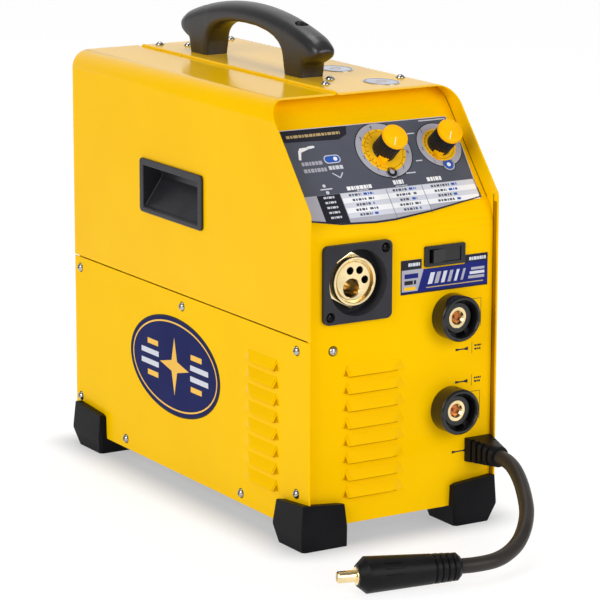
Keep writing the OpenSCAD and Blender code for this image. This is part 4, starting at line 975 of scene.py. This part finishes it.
roofBadges = {
    "inks": {"dark": "labelDark", "gold": "labelGold"},
    "face": 0.4, "z": 368.0, "places": [(48, -99), (55, -14)],
    "rim": ((13.3, 17.886), 0.6), "middle": ((4.6, 4.6), 1.0, 40),  # half sizes, width, segments
}


def makeRoofBadges(p=roofBadges):
    bm = bmesh.new()
    for place in p["places"]:
        drawMark(bm, p, inkRing, 0, "dark", place, *p["rim"])
        drawMark(bm, p, inkRing, 0, "gold", place, *p["middle"])
    for v in bm.verts:
        v.co = Vector((v.co.x, v.co.y, p["z"] + v.co.z)) * mm
    finishPiece("roofBadgePrint", bm, p["inks"].values())


makeControlPrint()
makePlatePrint()
makeFrontMarks()
makeSideBadge()
makeRoofBadges()
print("prints and badges made")


# dark gaps beside the front panel, millimetres
seamLines = {
    "right": 94.6, "left": -88.9, "half": 0.32, "low": 24, "high": 283, "height": 0.1,
    "slopeFrom": -6, "slopeTo": 100, "slopeHeight": 0.2,
    "coverIn": 94.8, "shade": (-206.6, -202.1), "shadeTop": 277,  # shaded strip on the cover's inner face
}

# inner walls, rolled edges and dark lines below the cut edges of the louvres, millimetres; the walls' darker
# amber is painted shade, the dark lines are painted shadows
louvreTrim = {
    "banks": [  # face, place of the mouth along it, length, finish
        ("front", -55, 62, "yellowCoat"), ("left", -160, 57, "sideCoat"), ("right", -160, 57, "yellowCoat")],
    "sides": {"left": (-90.0, -1), "right": (96.0, 1)},  # outer face of the side panel and the way out of it
    "first": 40, "pitch": 14.85, "count": 8,
    "foot": (0.3, 0.2, 0.1), "top": (4.9, 9, 0.15), "nose": (6.6, 0, 4),  # along the face, up, out
    "bead": 0.45, "beadSides": 8,
    "wall": [(1.3, -0.2, -0.9), (5.4, 7.4, -0.9), (6.5, 0.1, 3.0)], "wallThick": 0.4,
    "line": [(7.2, -1.9), (-7, -1.7), (-7, -0.9), (7.2, -0.9)],  # from the mouth or from the other end, up
    "shadowLineOut": 0.05, "shadowLineThick": 0.08,
}


def louvrePoint(t, face, start, along, up, out):
    if face == "front":
        return Vector((start + along, frontY - out, up))
    plane, way = t["sides"][face]
    return Vector((plane + way * out, start + along, up))


def makeBead(bm, a, b, radius, sides):
    along = (b - a).normalized()
    side = along.orthogonal().normalized()
    turn = Matrix((side, along.cross(side), along)).transposed().to_4x4()
    bmesh.ops.create_cone(bm, cap_ends=True, segments=sides, radius1=radius, radius2=radius,
                          depth=(b - a).length, matrix=Matrix.Translation((a + b) / 2) @ turn)


def makeLouvreTrim(t=louvreTrim):
    for face, start, length, coat in t["banks"]:
        bm = bmesh.new()
        origin = louvrePoint(t, face, start, 0, 0, 0)
        for k in range(t["count"]):
            low = t["first"] + k * t["pitch"]
            foot, top, nose, *wall = (louvrePoint(t, face, start, along, low + up, out)
                                      for along, up, out in (t["foot"], t["top"], t["nose"], *t["wall"]))
            for a, b in ((foot, top), (top, nose)):
                makeBead(bm, a, b, t["bead"], t["beadSides"])
            # inner wall in the throat, in a darker amber: painted shade
            raiseFace(bm, wall, louvrePoint(t, face, start, t["wallThick"], 0, 0) - origin, 1)
            # dark line below the cut edge: a painted shadow
            line = [louvrePoint(t, face, start, x if x > 0 else length + x, low + z, t["shadowLineOut"])
                    for x, z in t["line"]]
            raiseFace(bm, line, louvrePoint(t, face, start, 0, 0, t["shadowLineThick"]) - origin, 2)
        for v in bm.verts:
            v.co = v.co * mm
        finishPiece(face + "LouvreTrim", bm, [coat, "throatAmber", "lineAmber"], smooth=50)


def makeSeamLines(t=seamLines):
    bm = bmesh.new()
    half, height, right = t["half"], t["height"], t["right"]
    for x in (right, t["left"]):
        inkBar(bm, height, 0, x - half, t["low"], x + half, t["high"])
    ontoFront(bm.verts)
    shade = bmesh.new()
    inkBar(shade, height, 1, t["low"], t["shade"][0], t["shadeTop"], t["shade"][1])
    for v in shade.verts:
        v.co = Vector((t["coverIn"] - v.co.z, v.co.y, v.co.x)) * mm
    slant = bmesh.new()
    inkBar(slant, t["slopeHeight"], 0, right - half, t["slopeFrom"], right + half, t["slopeTo"])
    for v in slant.verts:
        v.co = slopePoint(*v.co)
    for part in (shade, slant):
        joinMesh(bm, part)
    finishPiece("seamLines", bm, ["seamDark", "shadeAmber"])


# painted contact shadow: a dark ring round the foot of each case screw's head, millimetres: radius and height
screwShadowRing = {
    "section": [(3.8, 0), (4.4, 0), (4.4, 0.12), (3.8, 0.12), (3.8, 0)],
    "segments": 28, "weld": 0.00001,
}


def linkedParts(bm):
    left = dict.fromkeys(bm.verts)
    while left:
        stack, part = [left.popitem()[0]], []
        while stack:
            v = stack.pop()
            part.append(v.co / mm)
            for e in v.link_edges:
                other = e.other_vert(v)
                if other in left:
                    del left[other]
                    stack.append(other)
        yield part


# each case screw gets a ring of painted contact shadow round its head
def makeScrewShadowRings(g=screwShadowRing):
    source = bmesh.new()
    source.from_mesh(nodes["case_screws"].data)
    bmesh.ops.remove_doubles(source, verts=source.verts, dist=g["weld"])
    bm = bmesh.new()
    for part in linkedParts(source):
        low = Vector([min(q[k] for q in part) for k in range(3)])
        high = Vector([max(q[k] for q in part) for k in range(3)])
        middle = (low + high) / 2
        axis = min(range(3), key=lambda k: high[k] - low[k])  # a head is flattest along its screw
        out = 1 if middle[axis] > 0 else -1
        base = low[axis] if out > 0 else high[axis]
        a, b = (k for k in range(3) if k != axis)
        for v in joinMesh(bm, spinProfile(g["section"], g["segments"])):
            place = Vector(middle)
            place[axis] = base + out * v.co.z
            place[a] += v.co.x
            place[b] += v.co.y
            v.co = place * mm
    source.free()
    finishPiece("screwShadowRings", bm, ["seamDark"], smooth=30)


contactBore = {
    "places": [(53, 183), (53, 102.5)], "faceY": -211.6, "segments": 40,
    "profile": [(0, -2.4), (1.5, -2.4), (1.7, -2.7), (1.7, -4.2), (4.5, -4.2), (4.5, -5.0), (0, -5.0)],
}


def makeContactBores(c=contactBore):
    bm = bmesh.new()
    for x, z in c["places"]:
        ontoFront(joinMesh(bm, spinProfile(c["profile"], c["segments"])), c["faceY"], x, z)
    finishPiece("contactBores", bm, ["copperBore"], smooth=30)


# brass core of the torch socket, drawn with z out of the front panel, millimetres
torchCore = {
    "centre": (-42, 222.5),
    "profile": [(0, -3.7), (15.9, -3.7), (16.4, -4.2), (16.4, -6.6), (18.0, -6.6), (18.0, -1.9),
                (18.4, -1.5), (20.1, -1.5), (20.5, -1.9), (20.5, -4.4), (19.9, -4.8), (19.9, -5.4),
                (20.4, -5.8), (20.4, -6.6), (19.9, -7.0), (19.9, -12), (15.9, -12), (15.9, -40), (0, -40)],
    "nuts": [(24.2, -12, 4.4), (24, -22, 6)],  # corner radius, back face, thickness
    "nutHole": (19.6, 30), "nutEdge": 0.5,  # radius and reach of the hole's cutter, width of the chamfer
    "bore": {"centre": (-1.8, -5.9), "radius": 7.6, "ends": (-65, 25), "chamfer": (9.0, -4.4, -3.0)},
    "pins": [(-3.4, 8.9), (5.8, 8.6), (10.9, 0.2)], "pinRadius": 3.4, "pinEnds": (-18, 42),
    "sleeve": [(0, -15.6), (3.3, -15.6), (3.3, -4.2), (2.8, -4.0), (2.5, -5.0), (2.5, -13), (0, -13)],
    "sleeveSegments": 32,
}


def hexNut(radius, back, thick, t=torchCore):
    bm = bmesh.new()
    bmesh.ops.create_cone(bm, cap_ends=True, segments=6, radius1=radius, radius2=radius, depth=thick)
    bmesh.ops.translate(bm, verts=bm.verts, vec=(0, 0, back + thick / 2))
    rims = [e for e in bm.edges if abs(e.verts[0].co.z - e.verts[1].co.z) < thick / 2]
    bmesh.ops.bevel(bm, geom=rims, offset=t["nutEdge"], segments=2, profile=0.5, affect="EDGES", material=-1)
    hole, reach = t["nutHole"]
    return bakedMesh(meshObject("nutForm", bm), [coneTool((0, 0), hole, hole, back - reach, back + reach)])


def makeTorchCore(t=torchCore):
    bore, pin = t["bore"], t["pinRadius"]
    tools = [coneTool(bore["centre"], bore["radius"], bore["radius"], *bore["ends"])]
    tools += [coneTool(place, pin, pin, *t["pinEnds"]) for place in t["pins"]]
    wide, low, high = bore["chamfer"]
    tools.append(coneTool(bore["centre"], bore["radius"], wide, low, high))
    core = bakedMesh(meshObject("coreForm", spinProfile(t["profile"])), tools)
    for nut in t["nuts"]:
        joinMesh(core, hexNut(*nut))
    sleeves = bmesh.new()
    for x, y in t["pins"]:
        sleeve = joinMesh(sleeves, spinProfile(t["sleeve"], t["sleeveSegments"]))
        bmesh.ops.translate(sleeves, verts=sleeve, vec=(x, y, 0))
    x, z = t["centre"]
    for bm in (core, sleeves):
        ontoFront(bm.verts, x=x, z=z)
    finishPiece("torchSocketCore", core, ["brass"], replaces=("torch_socket_body",), smooth=28)
    finishPiece("torchPinSleeves", sleeves, ["glossBlack"], smooth=28)


# ribbed knobs with a pointer at the foot of the skirt, drawn with z out of the control face, millimetres
knobShape = {
    "height": 47.5, "places": {"left": 12.8, "right": 68.0},
    "body": [(10.7, 0.6), (10.7, 1.8), (10.6, 2.4), (10.5, 19.2), (10.1, 20.8)],  # radius and height
    "ribs": 22, "ribPoints": 6, "ribDeep": 0.8, "ribLevels": (2, 3),
    "cap": [(0, 20.4), (10.9, 20.4), (11.2, 20.7), (11.2, 23.6), (10.9, 24.2), (10.3, 24.5), (0, 24.7)],
    "capSegments": 64,
    "turn": 240, "pointer": [(9.6, -4.4), (16.2, -0.6), (16.2, 0.6), (9.6, 4.4)], "pointerHeight": (0.7, 4.6),
    "line": [(1.5, -0.45), (9.4, -0.45), (9.4, 0.45), (1.5, 0.45)], "lineTop": 24.78, "lineDeep": 0.3,
}


def ribbedBody(k):
    bm = bmesh.new()
    rings = []
    for level, (radius, high) in enumerate(k["body"]):
        count = k["ribs"] * k["ribPoints"]
        ring = bmesh.ops.create_circle(bm, cap_ends=False, segments=count, radius=1)["verts"]
        for v in ring:
            wave = 0.5 - 0.5 * math.cos(math.atan2(v.co.y, v.co.x) * k["ribs"])
            reach = radius - k["ribDeep"] * wave ** 2 if level in k["ribLevels"] else radius
            v.co = (v.co.x * reach, v.co.y * reach, high)
        rings.append(loopEdges(ring))
    for one, two in zip(rings, rings[1:]):
        bmesh.ops.bridge_loops(bm, edges=one + two)
    for ring in (rings[0], rings[-1]):
        bmesh.ops.contextual_create(bm, geom=ring)
    return bm


def makeKnobs(k=knobShape):
    for side, x in k["places"].items():
        bm = spinProfile(k["cap"], k["capSegments"])
        low, high = k["pointerHeight"]
        raiseFace(bm, [(a, b, low) for a, b in k["pointer"]], (0, 0, high - low))
        raiseFace(bm, [(a, b, k["lineTop"]) for a, b in k["line"]], (0, 0, -k["lineDeep"]), 1)
        known = set(bm.faces)
        joinMesh(bm, ribbedBody(k))
        colourNew(bm, known, 2)
        turn = Matrix.Rotation(math.radians(k["turn"]), 3, "Z")
        bmesh.ops.rotate(bm, verts=bm.verts, cent=(0, 0, 0), matrix=turn)
        for v in bm.verts:
            v.co = slopePoint(x + v.co.x, k["height"] + v.co.y, v.co.z)
        cap = side + "_knob_cap"
        finishPiece(side + "Knob", bm, ["knobYellow", "capLine", "knobBlack"],
                    body=nodes[cap]["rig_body"], replaces=(cap, side + "_knob"), smooth=32)


# collar and slotted pin of the plug, z from the lead to the tip, millimetres
plugShape = {
    "start": (-31.6, -342.1, 15), "turn": 165.8, "bodyLength": 86.3,
    "profile": [(0, -0.3), (7.0, -0.3), (7.4, 0.0), (7.4, 0.8), (7.0, 1.2), (4.9, 1.2),
                (4.9, 15.5), (4.2, 16.4), (0, 16.5)], "segments": 64,
    "slotFrom": 9.2, "slot": (12, 2.2, 12),  # from the collar; size of its cutter
}


def makePlugTip(p=plugShape):
    tool = bmesh.new()
    bmesh.ops.create_cube(tool, size=1)
    bmesh.ops.scale(tool, verts=tool.verts, vec=p["slot"])
    bmesh.ops.translate(tool, verts=tool.verts, vec=(0, 0, p["slotFrom"] + p["slot"][2] / 2))
    pin = meshObject("pinForm", spinProfile(p["profile"], p["segments"]))
    tip = bakedMesh(pin, [meshObject("cutTool", tool)])
    along = Matrix.Rotation(math.radians(p["turn"]), 3, "Z") @ Matrix.Rotation(math.pi / 2, 3, "Y")
    for v in tip.verts:
        v.co = (Vector(p["start"]) + along @ (v.co + Vector((0, 0, p["bodyLength"])))) * mm
    return finishPiece("plugTip", tip, ["brass"], replaces=("plug_pin",), smooth=30)


makeLouvreTrim()
makeSeamLines()
makeContactBores()
makeScrewShadowRings()
print("louvre trim, seams, bores and screw gaps made")
makeTorchCore()
makeKnobs()
plugTip = makePlugTip()
print("torch socket core, knobs and plug tip made")


leadSetup = {
    "route": [(84, -232, 62.5), (84.4, -243, 61.2), (82.6, -256, 57.6), (77, -273, 51), (68, -292, 43),
              (59, -307, 36), (46, -322, 29), (32, -333, 22), (16, -341, 17.5), (0, -345.5, 15.5),
              (-18, -345.2, 15), (-31.6, -342.1, 15)],  # millimetres
    "diameter": 0.0126,
    "stepsBetween": 6, "roundness": 8,
}


# a smooth curve through the points of the route
def leadPoints(setup=leadSetup):
    route = [Vector(p) * mm for p in setup["route"]]
    points = []
    for i in range(len(route) - 1):
        a, b, c, d = route[max(i - 1, 0)], route[i], route[i + 1], route[min(i + 2, len(route) - 1)]
        for s in range(setup["stepsBetween"]):
            t = s / setup["stepsBetween"]
            points.append(0.5 * (2 * b + (c - a) * t + (2 * a - 5 * b + 4 * c - d) * t * t
                                 + (3 * b - a - 3 * c + d) * t ** 3))
    return points + [route[-1]]


def makeLead(setup=leadSetup):
    points = leadPoints()
    curve = bpy.data.curves.new("leadCable", "CURVE")
    curve.dimensions = "3D"
    curve.bevel_depth = setup["diameter"] / 2
    curve.bevel_resolution = setup["roundness"]
    curve.use_fill_caps = True
    spline = curve.splines.new("POLY")
    spline.points.add(len(points) - 1)
    for place, point in zip(points, spline.points):
        point.co = (*place, 1)
    lead = linkObject("leadCable", curve)
    curve.materials.append(finish["leadRubber"])
    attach(lead, "case")
    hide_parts("polarity_lead")
    length = sum((q - p).length for p, q in zip(points, points[1:]))
    print("lead length", round(length, 4))
    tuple(points[0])


makeLead()
